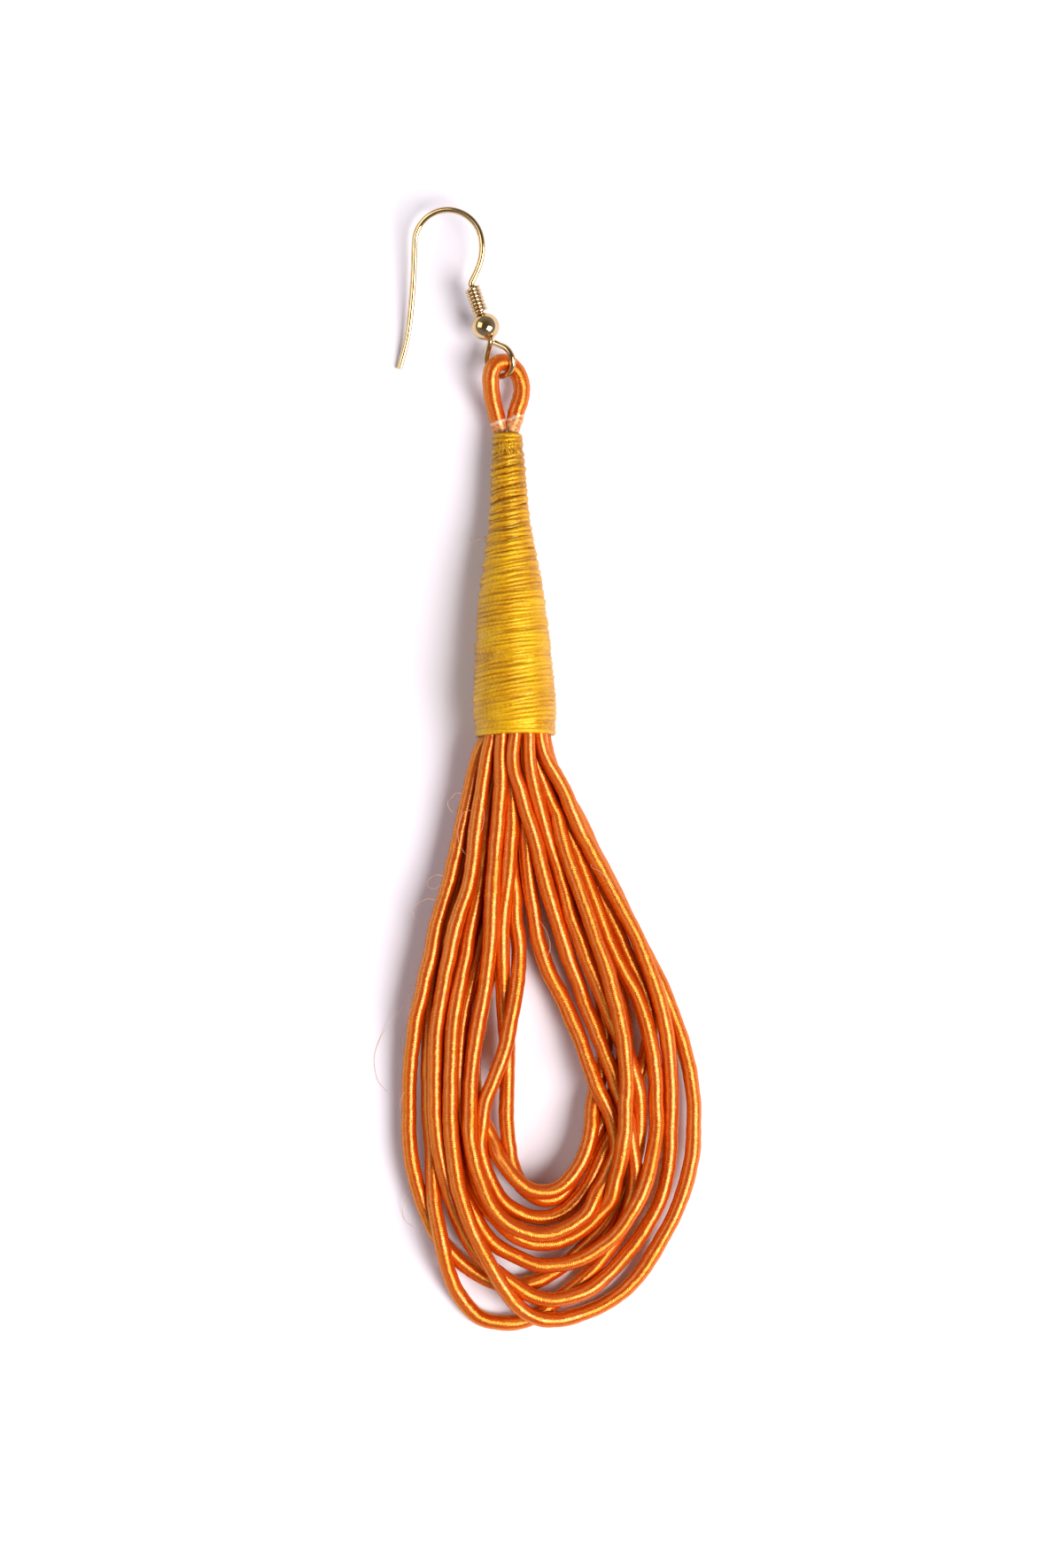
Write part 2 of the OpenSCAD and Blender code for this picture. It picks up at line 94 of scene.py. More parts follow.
# Routes of the loops outside the neck, from left to right: x, y and z of the centre line in mm.
routes = {
    "01": [
        (0.3, -31.6, 5.1), (-0.6, -34.8, 4.4), (-1.6, -39.5, 3.8), (-2.7, -44.5, 3.2), (-4.1, -49.5, 3.0),
        (-5.5, -56.0, 2.9), (-6.7, -61.0, 2.5), (-7.4, -66.0, 1.6), (-7.6, -71.5, 1.05),
        (-7.4, -76.5, 1.05), (-6.5, -81.0, 1.05), (-4.8, -85.2, 1.05), (-2.9, -87.9, 1.05),
        (-1.0, -89.6, 1.05), (1.4, -91.0, 1.05), (4.2, -91.7, 1.05), (6.9, -91.1, 1.05),
        (9.5, -89.5, 1.05), (12.2, -87.2, 1.05), (14.9, -84.2, 1.05), (16.7, -80.9, 1.05),
        (17.9, -77.0, 1.1), (18.4, -72.3, 2.0), (18.0, -68.7, 2.9), (16.9, -65.3, 3.0),
        (15.4, -61.8, 3.0), (13.8, -58.0, 3.0), (12.2, -54.0, 3.1), (10.4, -49.0, 3.1), (8.9, -43.8, 3.5),
        (7.6, -39.2, 5.0), (6.6, -35.5, 6.6), (6.0, -32.3, 7.5),
    ],
    "02": [
        (0.6, -31.6, 3.2), (-0.1, -35.5, 2.3), (-0.7, -39.5, 1.6), (-1.6, -44.0, 1.15),
        (-2.7, -48.5, 1.05), (-4.0, -52.5, 1.05), (-4.9, -57.0, 1.05), (-5.4, -62.0, 1.05),
        (-5.4, -66.8, 1.05), (-5.3, -71.5, 1.05), (-5.0, -76.3, 1.1), (-4.9, -80.5, 1.7),
        (-4.5, -83.7, 2.5), (-3.9, -86.6, 3.0), (-3.2, -89.8, 2.4), (-2.0, -92.7, 1.4),
        (-0.2, -94.9, 1.05), (2.0, -95.8, 1.05), (4.4, -95.9, 1.05), (6.8, -95.0, 1.05),
        (9.2, -93.3, 1.05), (11.7, -91.2, 1.05), (14.2, -88.4, 1.05), (16.2, -85.2, 1.3),
        (17.4, -82.0, 2.5), (17.9, -79.3, 2.7), (17.6, -76.4, 3.2), (16.9, -73.0, 3.1),
        (16.0, -69.5, 3.0), (14.8, -66.2, 2.9), (13.3, -62.5, 2.3), (12.0, -59.0, 1.7),
        (10.5, -54.8, 2.2), (9.1, -50.5, 3.2), (7.7, -45.6, 4.3), (6.4, -40.3, 5.6), (5.3, -36.8, 6.5),
        (4.3, -33.6, 7.4), (4.1, -31.6, 8.0),
    ],
    "03": [
        (1.2, -32.0, 6.5), (0.6, -35.5, 5.9), (0.1, -39.0, 5.2), (-0.3, -43.0, 4.7), (-0.9, -46.5, 4.4),
        (-2.1, -50.3, 4.4), (-3.0, -54.0, 4.0), (-3.7, -58.0, 3.5), (-4.4, -62.0, 3.1),
        (-4.7, -66.5, 3.0), (-4.7, -71.0, 3.0), (-4.3, -75.5, 2.9), (-3.5, -79.5, 2.4),
        (-2.2, -83.7, 1.6), (-0.5, -87.0, 2.2), (1.4, -89.2, 2.9), (3.6, -91.0, 3.1), (6.0, -92.5, 3.1),
        (8.8, -93.1, 3.1), (11.7, -92.4, 2.6), (14.6, -90.6, 1.6), (17.2, -87.7, 1.05),
        (19.5, -84.3, 1.05), (21.0, -81.0, 1.05), (21.7, -77.0, 1.05), (21.9, -72.5, 1.2),
        (21.9, -68.5, 1.8), (21.6, -64.5, 2.6), (20.9, -60.5, 3.0), (19.7, -56.5, 3.1),
        (17.9, -52.0, 3.2), (15.7, -47.7, 3.4), (13.7, -44.0, 4.0), (11.9, -40.5, 4.6),
        (10.4, -37.0, 5.8), (8.9, -34.0, 6.1), (7.6, -31.6, 6.6),
    ],
    "04": [
        (2.3, -31.6, 5.0), (1.7, -35.0, 4.3), (1.1, -38.5, 3.7), (0.7, -42.5, 3.3), (0.3, -46.5, 3.1),
        (-0.5, -50.0, 3.0), (-1.2, -54.0, 3.0), (-2.0, -58.0, 3.1), (-2.6, -62.0, 3.4),
        (-2.8, -66.5, 3.7), (-2.9, -71.0, 3.6), (-2.7, -75.5, 3.7), (-2.1, -79.7, 3.9),
        (-0.9, -84.0, 4.1), (0.3, -86.8, 4.2), (1.6, -89.2, 4.8), (3.1, -91.7, 4.6), (4.7, -93.7, 3.7),
        (6.5, -95.0, 3.0), (9.2, -95.5, 2.0), (12.2, -94.8, 1.1), (15.2, -93.3, 1.05),
        (17.9, -91.0, 1.05), (20.2, -87.5, 1.05), (22.1, -84.0, 1.05), (23.5, -80.5, 1.05),
        (24.3, -76.5, 1.05), (24.5, -72.5, 1.05), (24.2, -68.5, 1.05), (23.3, -64.7, 1.05),
        (22.2, -61.3, 1.05), (20.8, -57.7, 1.05), (19.0, -54.0, 1.05), (17.2, -50.5, 1.1),
        (15.4, -46.8, 1.1), (13.4, -43.0, 1.6), (11.8, -39.5, 2.7), (10.1, -36.5, 3.9), (8.4, -33.3, 4.6),
    ],
    "05": [
        (1.8, -32.3, 1.9), (1.2, -37.0, 1.2), (0.6, -42.0, 1.05), (-0.1, -47.0, 1.05),
        (-1.2, -51.5, 1.05), (-2.4, -56.0, 1.05), (-3.3, -60.5, 1.05), (-3.7, -65.5, 1.05),
        (-3.6, -70.5, 1.05), (-3.0, -75.0, 1.05), (-1.9, -79.5, 1.2), (-0.4, -83.2, 1.6),
        (1.4, -86.2, 2.0), (4.1, -88.1, 2.2), (7.0, -89.1, 2.9), (10.0, -89.0, 3.1), (13.0, -87.7, 3.2),
        (15.8, -85.4, 3.6), (18.0, -82.0, 4.3), (19.5, -78.0, 3.6), (20.2, -74.0, 2.4),
        (20.2, -70.0, 2.4), (19.9, -66.0, 3.0), (19.1, -61.8, 3.1), (17.8, -58.5, 3.1),
        (15.9, -55.0, 3.1), (14.4, -51.5, 3.0), (13.0, -47.5, 3.0), (11.3, -43.0, 3.0), (9.4, -38.5, 3.0),
        (8.0, -34.5, 3.2), (7.5, -31.6, 3.4),
    ],
    "06": [
        (2.9, -31.8, 3.5), (2.6, -36.0, 2.7), (2.5, -41.0, 1.4), (2.0, -46.0, 1.05), (0.9, -51.0, 1.05),
        (-0.3, -56.0, 1.1), (-1.5, -61.0, 1.5), (-2.0, -66.0, 1.8), (-1.9, -71.0, 1.6),
        (-1.3, -76.0, 1.5), (0.2, -80.5, 2.0), (2.3, -84.0, 2.2), (4.8, -86.2, 2.0), (7.5, -86.8, 1.9),
        (10.2, -86.2, 1.8), (12.6, -84.7, 1.8), (14.6, -82.0, 2.7), (15.9, -78.5, 4.0),
        (16.6, -74.5, 5.0), (16.8, -70.5, 5.1), (16.8, -66.5, 5.0), (16.3, -62.5, 5.0),
        (15.4, -58.5, 5.0), (14.2, -54.5, 4.9), (12.8, -50.5, 4.7), (11.4, -46.5, 4.5), (9.9, -42.0, 4.5),
        (8.6, -38.0, 4.8), (7.4, -34.5, 5.1), (6.4, -31.6, 5.3),
    ],
    "07": [
        (2.8, -31.6, 7.4), (2.8, -35.0, 6.6), (2.5, -39.0, 5.7), (2.1, -43.5, 5.0), (1.9, -48.0, 4.8),
        (1.6, -52.5, 4.2), (1.1, -57.0, 3.5), (0.3, -61.5, 3.1), (-0.4, -66.0, 3.0), (-0.7, -71.0, 3.0),
        (-0.4, -76.0, 3.4), (0.7, -80.3, 3.8), (2.6, -83.6, 3.9), (5.0, -85.1, 3.8), (7.7, -85.6, 3.7),
        (10.4, -84.7, 3.6), (12.6, -82.9, 3.3), (14.3, -80.0, 2.5), (15.5, -77.0, 2.3),
        (15.7, -74.2, 2.6), (15.0, -71.8, 2.9), (13.7, -69.3, 3.0), (12.5, -66.0, 2.5),
        (11.3, -62.8, 1.6), (9.8, -59.3, 1.1), (8.1, -56.0, 1.05), (7.0, -52.5, 1.4), (6.3, -48.5, 2.4),
        (5.7, -44.5, 3.4), (5.4, -40.5, 3.9), (5.3, -36.5, 4.6), (5.2, -32.5, 6.0),
    ],
    "08": [
        (4.4, -31.8, 3.1), (4.2, -36.0, 3.0), (4.0, -41.0, 3.1), (4.1, -46.0, 2.7), (4.4, -50.0, 2.2),
        (4.8, -54.0, 1.5), (4.6, -57.5, 2.5), (3.9, -61.5, 3.1), (3.2, -65.0, 3.1), (2.0, -68.2, 3.0),
        (0.9, -71.2, 2.6), (0.4, -74.8, 2.2), (0.9, -78.4, 1.9), (2.3, -81.2, 1.8), (4.6, -83.2, 1.6),
        (7.3, -83.9, 1.5), (9.9, -83.1, 1.2), (12.0, -80.9, 1.3), (13.6, -77.8, 1.5), (15.0, -74.8, 1.3),
        (16.4, -71.8, 1.05), (18.0, -68.4, 1.05), (19.2, -65.0, 1.05), (19.6, -61.5, 1.05),
        (18.8, -58.0, 1.05), (17.1, -54.5, 1.05), (15.2, -50.3, 1.05), (13.1, -46.0, 1.05),
        (11.2, -42.0, 1.05), (9.4, -38.0, 1.1), (7.7, -34.5, 1.5), (6.9, -31.8, 2.1),
    ],
    "09": [
        (3.8, -31.8, 6.2), (4.0, -36.0, 5.2), (3.9, -41.0, 5.0), (3.4, -46.0, 4.3), (2.9, -50.5, 3.4),
        (2.9, -54.5, 2.6), (3.0, -58.5, 1.2), (3.3, -62.5, 1.05), (3.5, -66.5, 1.05), (3.4, -70.5, 1.05),
        (3.5, -74.5, 1.05), (3.9, -77.8, 1.05), (5.4, -80.6, 1.05), (7.5, -81.9, 1.05),
        (9.6, -81.2, 1.05), (11.3, -79.0, 1.05), (12.7, -76.0, 1.05), (14.4, -72.7, 1.05),
        (15.9, -69.0, 1.05), (16.7, -65.0, 1.05), (16.6, -61.0, 1.05), (15.6, -57.0, 1.05),
        (14.0, -53.0, 1.3), (12.4, -49.0, 1.4), (10.7, -45.0, 1.3), (9.1, -41.0, 1.1), (7.4, -37.0, 1.2),
        (5.9, -33.5, 1.5), (5.3, -31.6, 1.7),
    ],
    "10": [
        (3.7, -31.8, 1.7), (3.9, -36.5, 1.1), (4.0, -41.5, 1.05), (3.7, -46.5, 1.05), (2.5, -51.5, 1.05),
        (1.3, -56.5, 1.05), (0.4, -61.5, 1.05), (-0.4, -66.5, 1.05), (0.1, -71.0, 1.05),
        (1.4, -74.6, 1.1), (2.6, -77.0, 2.1), (4.2, -79.1, 3.1), (6.2, -80.6, 3.2), (8.4, -80.7, 3.1),
        (10.3, -79.5, 3.1), (11.9, -77.2, 3.0), (12.9, -74.2, 2.8), (13.2, -71.0, 1.9),
        (14.0, -67.5, 1.05), (14.6, -63.8, 1.05), (14.3, -60.0, 1.05), (13.2, -56.0, 1.05),
        (11.7, -52.0, 1.05), (10.0, -47.5, 1.05), (8.4, -43.0, 1.5), (7.1, -38.5, 2.6), (6.2, -34.5, 3.4),
        (5.8, -31.6, 3.8),
    ],
}
# Places in the neck's mouth for the two legs of each loop: 0 to 12 on the outer ring, 20 to 26 on
# the inner one.
slots = {"01": (10, 1), "02": (9, 0), "03": (11, 2), "04": (26, 3), "05": (8, 4),
         "06": (25, 22), "07": (12, 21), "08": (24, 5), "09": (20, 6), "10": (7, 23)}


def in_neck(along, across, up):
    return MOUTH + along * NECK_RUN + across * NECK_SIDE + up * NECK_UP


def slot_legs(slot):
    inner = slot >= FIRST_INNER
    turn = (slot - FIRST_INNER - 0.5) / INNER_SLOTS if inner else slot / OUTER_SLOTS
    ring = INNER_RING if inner else OUTER_RING
    angle = math.radians(90 - 360 * turn)
    return [in_neck(along, ring * math.cos(angle), ring * math.sin(angle)) for along in LEG_STOPS]


def smooth_line(points, steps):
    """A curve through the points, with a number of steps from each to the next."""
    p = np.array(points, dtype=float)
    rows = []
    for i in range(len(p) - 1):
        a, b, c, d = p[max(i - 1, 0)], p[i], p[i + 1], p[min(i + 2, len(p) - 1)]
        for k in range(steps):
            t = k / steps
            rows.append((2 * b + (c - a) * t + (2 * a - 5 * b + 4 * c - d) * t ** 2
                         + (3 * b - a - 3 * c + d) * t ** 3) / 2)
    rows.append(p[-1])
    return np.array(rows)


def even_line(points, step):
    """The same line with its points a fixed step apart."""
    p = np.array(points, dtype=float)
    run = np.concatenate([[0], np.cumsum(np.linalg.norm(np.diff(p, axis=0), axis=1))])
    count = int(round(run[-1] / step)) + 1
    at = np.linspace(0, run[-1], count)
    return np.stack([np.interp(at, run, p[:, k]) for k in range(3)], axis=1)


def looseness(y):
    """0 at the mouth, where the cord is squeezed, and 1 where it has swollen to its full thickness."""
    part = np.clip((MOUTH[1] - y) / SWELL, 0, 1)
    return part * (2 - part)


def cord_r(line):
    return (BOUND_D + (CORD_D - BOUND_D) * looseness(line[:, 1])) / 2


def eased(t):
    t = min(max(t, 0), 1)
    return t * t * (3 - 2 * t)


def settled(route):
    """The routes are drawn for a thicker cord and lie flat; the springy loops arch clear of the table."""
    rows = []
    for x, y, z in route:
        thinned = z * (1 - (1 - CORD_D / DRAWN_D) * looseness(y))
        arch = ARCH * eased((ARCH_TOP - y) / ARCH_TOP_RUN) * eased((y - ARCH_FOOT) / ARCH_FOOT_RUN)
        rows.append((x, y, thinned + arch))
    return rows


# The loops press on each other: where two lie too close they are eased apart, mostly up and down.
EASE_PASSES = 40
EASE_WAYS = np.array([0.3, 0.3, 1.0])
EASE_SHARE = 0.25
MOST_PUSH = 0.12
PRESSED = 0.97
HELD_ABOVE = -30.5
OFF_TABLE = 0.01
ROUTE_STEPS = 12
LINE_STEP = 0.5
lines = {}
for name, route in routes.items():
    left, right = slots[name]
    whole = slot_legs(left) + settled(route) + slot_legs(right)[::-1]
    lines[name] = even_line(smooth_line(whole, ROUTE_STEPS), LINE_STEP)
names = sorted(lines)
counts = [len(lines[n]) for n in names]
starts = np.concatenate([[0], np.cumsum(counts)])
cords = np.concatenate([lines[n] for n in names])
held = cords[:, 1] > HELD_ABOVE
radius = cord_r(cords)
for _ in range(EASE_PASSES):
    push = np.zeros_like(cords)
    for i in range(len(names)):
        mine = slice(starts[i], starts[i + 1])
        for j in range(i + 1, len(names)):
            other = slice(starts[j], starts[j + 1])
            away = cords[mine][:, None, :] - cords[other][None, :, :]
            apart = np.linalg.norm(away, axis=2) + 1e-9
            want = (radius[mine][:, None] + radius[other][None, :]) * PRESSED
            for a, b in np.argwhere(apart < want):
                shove = away[a, b] / apart[a, b] * (want[a, b] - apart[a, b]) * EASE_SHARE * EASE_WAYS
                push[starts[i] + a] += shove
                push[starts[j] + b] -= shove
    push[held] = 0
    push = np.clip(push, -MOST_PUSH, MOST_PUSH)
    for i in range(len(names)):
        part = push[starts[i]:starts[i + 1]]
        for _ in range(3):
            part[1:-1] = part[1:-1] * 0.5 + (part[:-2] + part[2:]) * 0.25
        push[starts[i]:starts[i + 1]] = part
    cords += push
    cords[:, 2] = np.maximum(cords[:, 2], radius + OFF_TABLE)


def slow_noise(x, seed):
    """A smooth wander between -1 and 1 along a line."""
    knots = np.random.default_rng(seed).uniform(-1, 1, int(np.max(x)) + 4)
    low = np.floor(x).astype(int)
    part = x - low
    part = part * part * (3 - 2 * part)
    return knots[low] * (1 - part) + knots[low + 1] * part


def cord_tube(name, line, radii, sides, material):
    """A closed tube along a line, with a map that runs along it in mm and once round it."""
    p = np.array(line) * MM
    r = np.array(radii) * MM
    if r.ndim == 1:
        r = np.repeat(r[:, None], sides, axis=1)
    run = np.zeros_like(p)
    run[1:-1] = p[2:] - p[:-2]
    run[0], run[-1] = p[1] - p[0], p[-1] - p[-2]
    run /= np.linalg.norm(run, axis=1)[:, None]
    side = np.cross(run[0], [0, 0, 1.0])
    side /= np.linalg.norm(side)
    rings = []
    for k in range(len(p)):
        side = side - run[k] * np.dot(side, run[k])
        side /= np.linalg.norm(side)
        up = np.cross(side, run[k])
        angle = np.arange(sides) * 2 * math.pi / sides
        rings.append(p[k] + r[k][:, None] * (np.cos(angle)[:, None] * up + np.sin(angle)[:, None] * side))
    verts = np.concatenate(rings)
    count = len(p)
    faces = []
    for k in range(count - 1):
        for s in range(sides):
            n = (s + 1) % sides
            faces.append((k * sides + s, k * sides + n, (k + 1) * sides + n, (k + 1) * sides + s))
    faces.append(tuple(range(sides - 1, -1, -1)))
    faces.append(tuple((count - 1) * sides + s for s in range(sides)))
    mesh = bpy.data.meshes.new(name)
    mesh.from_pydata(verts.tolist(), [], faces)
    length = np.concatenate([[0], np.cumsum(np.linalg.norm(np.diff(p, axis=0), axis=1))]) / MM
    grid = []
    for k in range(count - 1):
        for s in range(sides):
            grid += [(length[k], s / sides), (length[k], (s + 1) / sides),
                     (length[k + 1], (s + 1) / sides), (length[k + 1], s / sides)]
    grid += [(0, 0)] * sides + [(length[-1], 0)] * sides
    layer = mesh.uv_layers.new(name="along")
    layer.data.foreach_set("uv", np.array(grid).ravel())
    mesh.shade_smooth()
    mesh.validate()
    mesh.materials.append(material)
    piece = bpy.data.objects.new(name, mesh)
    bpy.context.collection.objects.link(piece)
    return piece


def new_look(name):
    """A new material, its node tree and its shader."""
    material = bpy.data.materials.new(name)
    material.use_nodes = True
    return material, material.node_tree, material.node_tree.nodes["Principled BSDF"]


def object_place(tree):
    return tree.nodes.new("ShaderNodeTexCoord").outputs["Object"]


def split_node(tree, vector):
    node = tree.nodes.new("ShaderNodeSeparateXYZ")
    tree.links.new(vector, node.inputs[0])
    return node.outputs["X"], node.outputs["Y"], node.outputs["Z"]


def joint_node(tree, *parts):
    """A vector of two or three values."""
    node = tree.nodes.new("ShaderNodeCombineXYZ")
    for value, axis in zip(parts, "XYZ"):
        tree.links.new(value, node.inputs[axis])
    return node.outputs["Vector"]


def math_node(tree, kind, first, second=None):
    node = tree.nodes.new("ShaderNodeMath")
    node.operation = kind
    for k, value in enumerate((first, second)):
        if value is None:
            continue
        if isinstance(value, (int, float)):
            node.inputs[k].default_value = value
        else:
            tree.links.new(value, node.inputs[k])
    return node.outputs[0]


def weighted_sum(tree, *parts):
    """The sum of some values, each times its weight."""
    total = None
    for value, weight in parts:
        share = math_node(tree, "MULTIPLY", value, weight)
        total = share if total is None else math_node(tree, "ADD", total, share)
    return total


def noise_node(tree, vector, scale, detail=2.0, rough=0.5):
    node = tree.nodes.new("ShaderNodeTexNoise")
    node.inputs["Scale"].default_value = scale
    node.inputs["Detail"].default_value = detail
    node.inputs["Roughness"].default_value = rough
    tree.links.new(vector, node.inputs["Vector"])
    return node.outputs["Fac"]


def ramp_node(tree, value, stops):
    node = tree.nodes.new("ShaderNodeValToRGB")
    while len(node.color_ramp.elements) < len(stops):
        node.color_ramp.elements.new(0.5)
    for element, (place, colour) in zip(node.color_ramp.elements, stops):
        element.position = place
        element.color = (*colour, 1)
    tree.links.new(value, node.inputs["Fac"])
    return node.outputs["Color"]


def bump_node(tree, height, distance, strength=1.0):
    node = tree.nodes.new("ShaderNodeBump")
    node.inputs["Strength"].default_value = strength
    node.inputs["Distance"].default_value = distance
    tree.links.new(height, node.inputs["Height"])
    return node.outputs["Normal"]


def cord_map(tree):
    """How far along its cord a point is, in mm, and how far round it, in turns."""
    uv = tree.nodes.new("ShaderNodeUVMap")
    uv.uv_map = "along"
    return split_node(tree, uv.outputs["UV"])[:2]


def ridges(tree, turns):
    """0 in the groove between one turn of thread and the next, 1 on the thread's back."""
    return math_node(tree, "ABSOLUTE", math_node(tree, "SINE", math_node(tree, "MULTIPLY", turns, math.pi)))


def brush_along(tree, shader):
    """The shader's fine grain runs the way the cord does."""
    tangent = tree.nodes.new("ShaderNodeTangent")
    tangent.direction_type = "UV_MAP"
    tangent.uv_map = "along"
    tree.links.new(tangent.outputs["Tangent"], shader.inputs["Tangent"])


# Satin: windings a fifth of a millimetre apart, each lying a little differently, so the light runs
# along the cord in one ragged bright line.
WINDING = 0.2
satin, tree, shader = new_look("orange_satin")
along_cord, round_cord = cord_map(tree)
place = object_place(tree)
drift = noise_node(tree, place, 900, 2)
turns = weighted_sum(tree, (along_cord, 1 / WINDING), (round_cord, 1), (drift, 3.0))
groove = ridges(tree, turns)
winding_no = math_node(tree, "FLOOR", turns)
round_turn = math_node(tree, "MULTIPLY", round_cord, 2 * math.pi)
own_place = joint_node(tree, math_node(tree, "COSINE", round_turn), math_node(tree, "SINE", round_turn),
                       math_node(tree, "MULTIPLY", winding_no, 1.73))
ragged = noise_node(tree, own_place, 3.5, 1)
height = math_node(tree, "MULTIPLY", groove, math_node(tree, "ADD", ragged, 0.3))
tree.links.new(bump_node(tree, height, 0.00003), shader.inputs["Normal"])
shade = noise_node(tree, place, 350, 3)
# Painted shade: the colour is darker in the grooves between the windings; the rest of the tone varies at
# random.
tone = weighted_sum(tree, (groove, 0.27), (shade, 0.4), (ragged, 0.35))
colour = ramp_node(tree, tone, [(0.25, (0.42, 0.013, 0.0)), (0.5, (0.53, 0.031, 0.0)),
                                (0.8, (0.61, 0.063, 0.001))])
tree.links.new(colour, shader.inputs["Base Color"])
brush_along(tree, shader)
shader.inputs["Anisotropic"].default_value = 0.92
shader.inputs["Roughness"].default_value = 0.38
shader.inputs["IOR"].default_value = 2.6
shader.inputs["Specular IOR Level"].default_value = 1.0
shader.inputs["Specular Tint"].default_value = (1.0, 0.52, 0.08, 1)
shader.inputs["Coat Weight"].default_value = 0.3
shader.inputs["Coat Roughness"].default_value = 0.2

# Each cord wanders a little from its line and swells and thins a little along it.
CORD_SIDES = 20
FINE_STEPS = 2
WANDER_RUN = 6
laid_cords = []
for i, name in enumerate(names):
    line = smooth_line(cords[starts[i]:starts[i + 1]], FINE_STEPS)
    run = np.arange(len(line)) * LINE_STEP / FINE_STEPS
    seed = 20 * i
    free = np.clip((MOUTH[1] - line[:, 1]) / WANDER_RUN, 0, 1)
    for axis in range(2):
        line[:, axis] += (0.06 * free * slow_noise(run / 2.6, seed + axis)
                          + 0.02 * free * slow_noise(run / 0.9, seed + 5 + axis))
    swelling = 0.05 * slow_noise(run / 4.0, seed + 7) + 0.025 * slow_noise(run / 0.8, seed + 8)
    loop = cord_tube("loop_" + name, line, cord_r(line) * (1 + swelling), CORD_SIDES, satin)
    laid_cords.append(line)
    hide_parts("cord_loop_" + name)
    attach(loop, "root")


# Loose fibres. Fine hairs that have worked out of the cords' silk wrapping. Each is still caught in
# a cord at its start, and its free end curls over the cords or down to the table.
FIBRE_R = 0.022
fibre_routes = [
    [(-2.2, -36.0, 4.6), (-2.7, -36.5, 4.9), (-3.2, -37.0, 4.6), (-3.0, -37.8, 4.1), (-2.6, -38.2, 4.0)],
    [(-4.4, -45.2, 4.6), (-5.2, -45.6, 4.7), (-5.5, -46.3, 4.2), (-4.9, -46.8, 4.3), (-4.0, -46.4, 4.7)],
    [(-5.2, -47.9, 4.4), (-6.2, -48.2, 4.3), (-7.0, -48.8, 3.4), (-7.1, -49.8, 2.6), (-6.4, -50.6, 3.0)],
    [(-7.0, -57.5, 3.6), (-7.9, -59.5, 2.8), (-9.3, -61.6, 1.3), (-10.7, -63.4, 0.2), (-11.6, -65.8, 0.05),
     (-11.3, -68.4, 0.05), (-10.2, -69.8, 0.05)],
    [(-7.4, -61.5, 3.4), (-8.3, -63.0, 2.6), (-8.6, -64.6, 1.6), (-8.1, -66.0, 2.0), (-7.6, -66.6, 2.6)],
    [(-7.6, -69.0, 2.9), (-8.4, -70.2, 3.2), (-8.6, -71.8, 2.6), (-7.9, -72.8, 2.8), (-7.2, -72.6, 3.3)],
    [(-1.2, -38.0, 5.9), (-1.9, -39.4, 6.2), (-2.0, -41.2, 5.8), (-1.4, -42.6, 5.6), (-0.6, -43.2, 5.8)],
    [(0.4, -36.5, 6.4), (0.9, -38.4, 6.7), (0.6, -40.2, 6.5), (-0.2, -41.4, 6.3)],
    [(6.8, -50.0, 4.3), (7.9, -51.6, 4.8), (8.3, -53.4, 4.5), (7.7, -54.8, 3.6)],
    [(12.8, -44.2, 5.5), (14.0, -44.9, 5.9), (15.3, -46.3, 5.2), (15.9, -47.9, 4.4)],
    [(-5.9, -80.2, 2.2), (-7.3, -81.0, 1.8), (-8.3, -82.6, 0.8), (-8.2, -84.3, 0.05), (-7.2, -85.2, 0.05)],
]


def joined(pieces):
    bpy.ops.object.select_all(action="DESELECT")
    for piece in pieces:
        piece.select_set(True)
    bpy.context.view_layer.objects.active = pieces[0]
    bpy.ops.object.join()
    return pieces[0]


pale, tree, shader = new_look("pale_fibre")
fibre_shade = noise_node(tree, object_place(tree), 1200, 2)
fibre_colour = ramp_node(tree, fibre_shade, [(0.3, (0.55, 0.24, 0.10)), (0.7, (0.85, 0.55, 0.34))])
tree.links.new(fibre_colour, shader.inputs["Base Color"])
shader.inputs["Roughness"].default_value = 0.4
all_cords = np.concatenate(laid_cords)
fibres = []
for route in fibre_routes:
    caught_at = all_cords[np.argmin(np.linalg.norm(all_cords - np.array(route[0]), axis=1))]
    line = smooth_line([tuple(caught_at)] + route, 6)
    fibres.append(cord_tube("loose_fibres", line, np.full(len(line), FIBRE_R), 6, pale))
loose_fibres = joined(fibres)
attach(loose_fibres, "root")


# Cord eye. One short length of the same cord, folded over the hook's eye, its legs bound into the
# top of the neck, where they are pressed thinner.
EYE_CORD_D = 1.9
EYE_BOUND_D = 1.1
EYE_CORD_SIDES = 24
EYE_LEG_END = 31.05
EYE_LEG_SIDE = 0.6
EYE_STEPS = 8
eye_route = [
    (2.6, 4.9, 2.5), (2.3, 6.4, 2.6), (1.9, 8.0, 3.1), (1.65, 9.6, 3.8), (1.65, 11.0, 4.2),
    (2.05, 12.0, 4.1), (2.8, 12.45, 3.5), (3.65, 12.35, 2.7), (4.4, 11.65, 2.4), (4.9, 10.7, 2.35),
    (5.1, 9.6, 2.3), (4.95, 8.4, 2.3), (4.55, 7.2, 2.4), (4.35, 6.2, 2.4), (4.15, 4.9, 2.5),
]
eye_ends = [in_neck(EYE_LEG_END, side, 0) for side in (-EYE_LEG_SIDE, EYE_LEG_SIDE)]
eye_line = smooth_line([eye_ends[0]] + eye_route + [eye_ends[1]], EYE_STEPS)
round_at = np.arange(EYE_CORD_SIDES)[None, :] * 2 * math.pi / EYE_CORD_SIDES


def eye_thickness(swells_from, swells_over):
    """The cord's thickness along the eye, as it swells out of the binding."""
    part = np.clip((eye_line[:, 1] - swells_from) / swells_over, 0, 1)[:, None]
    return EYE_BOUND_D + (EYE_CORD_D - EYE_BOUND_D) * part


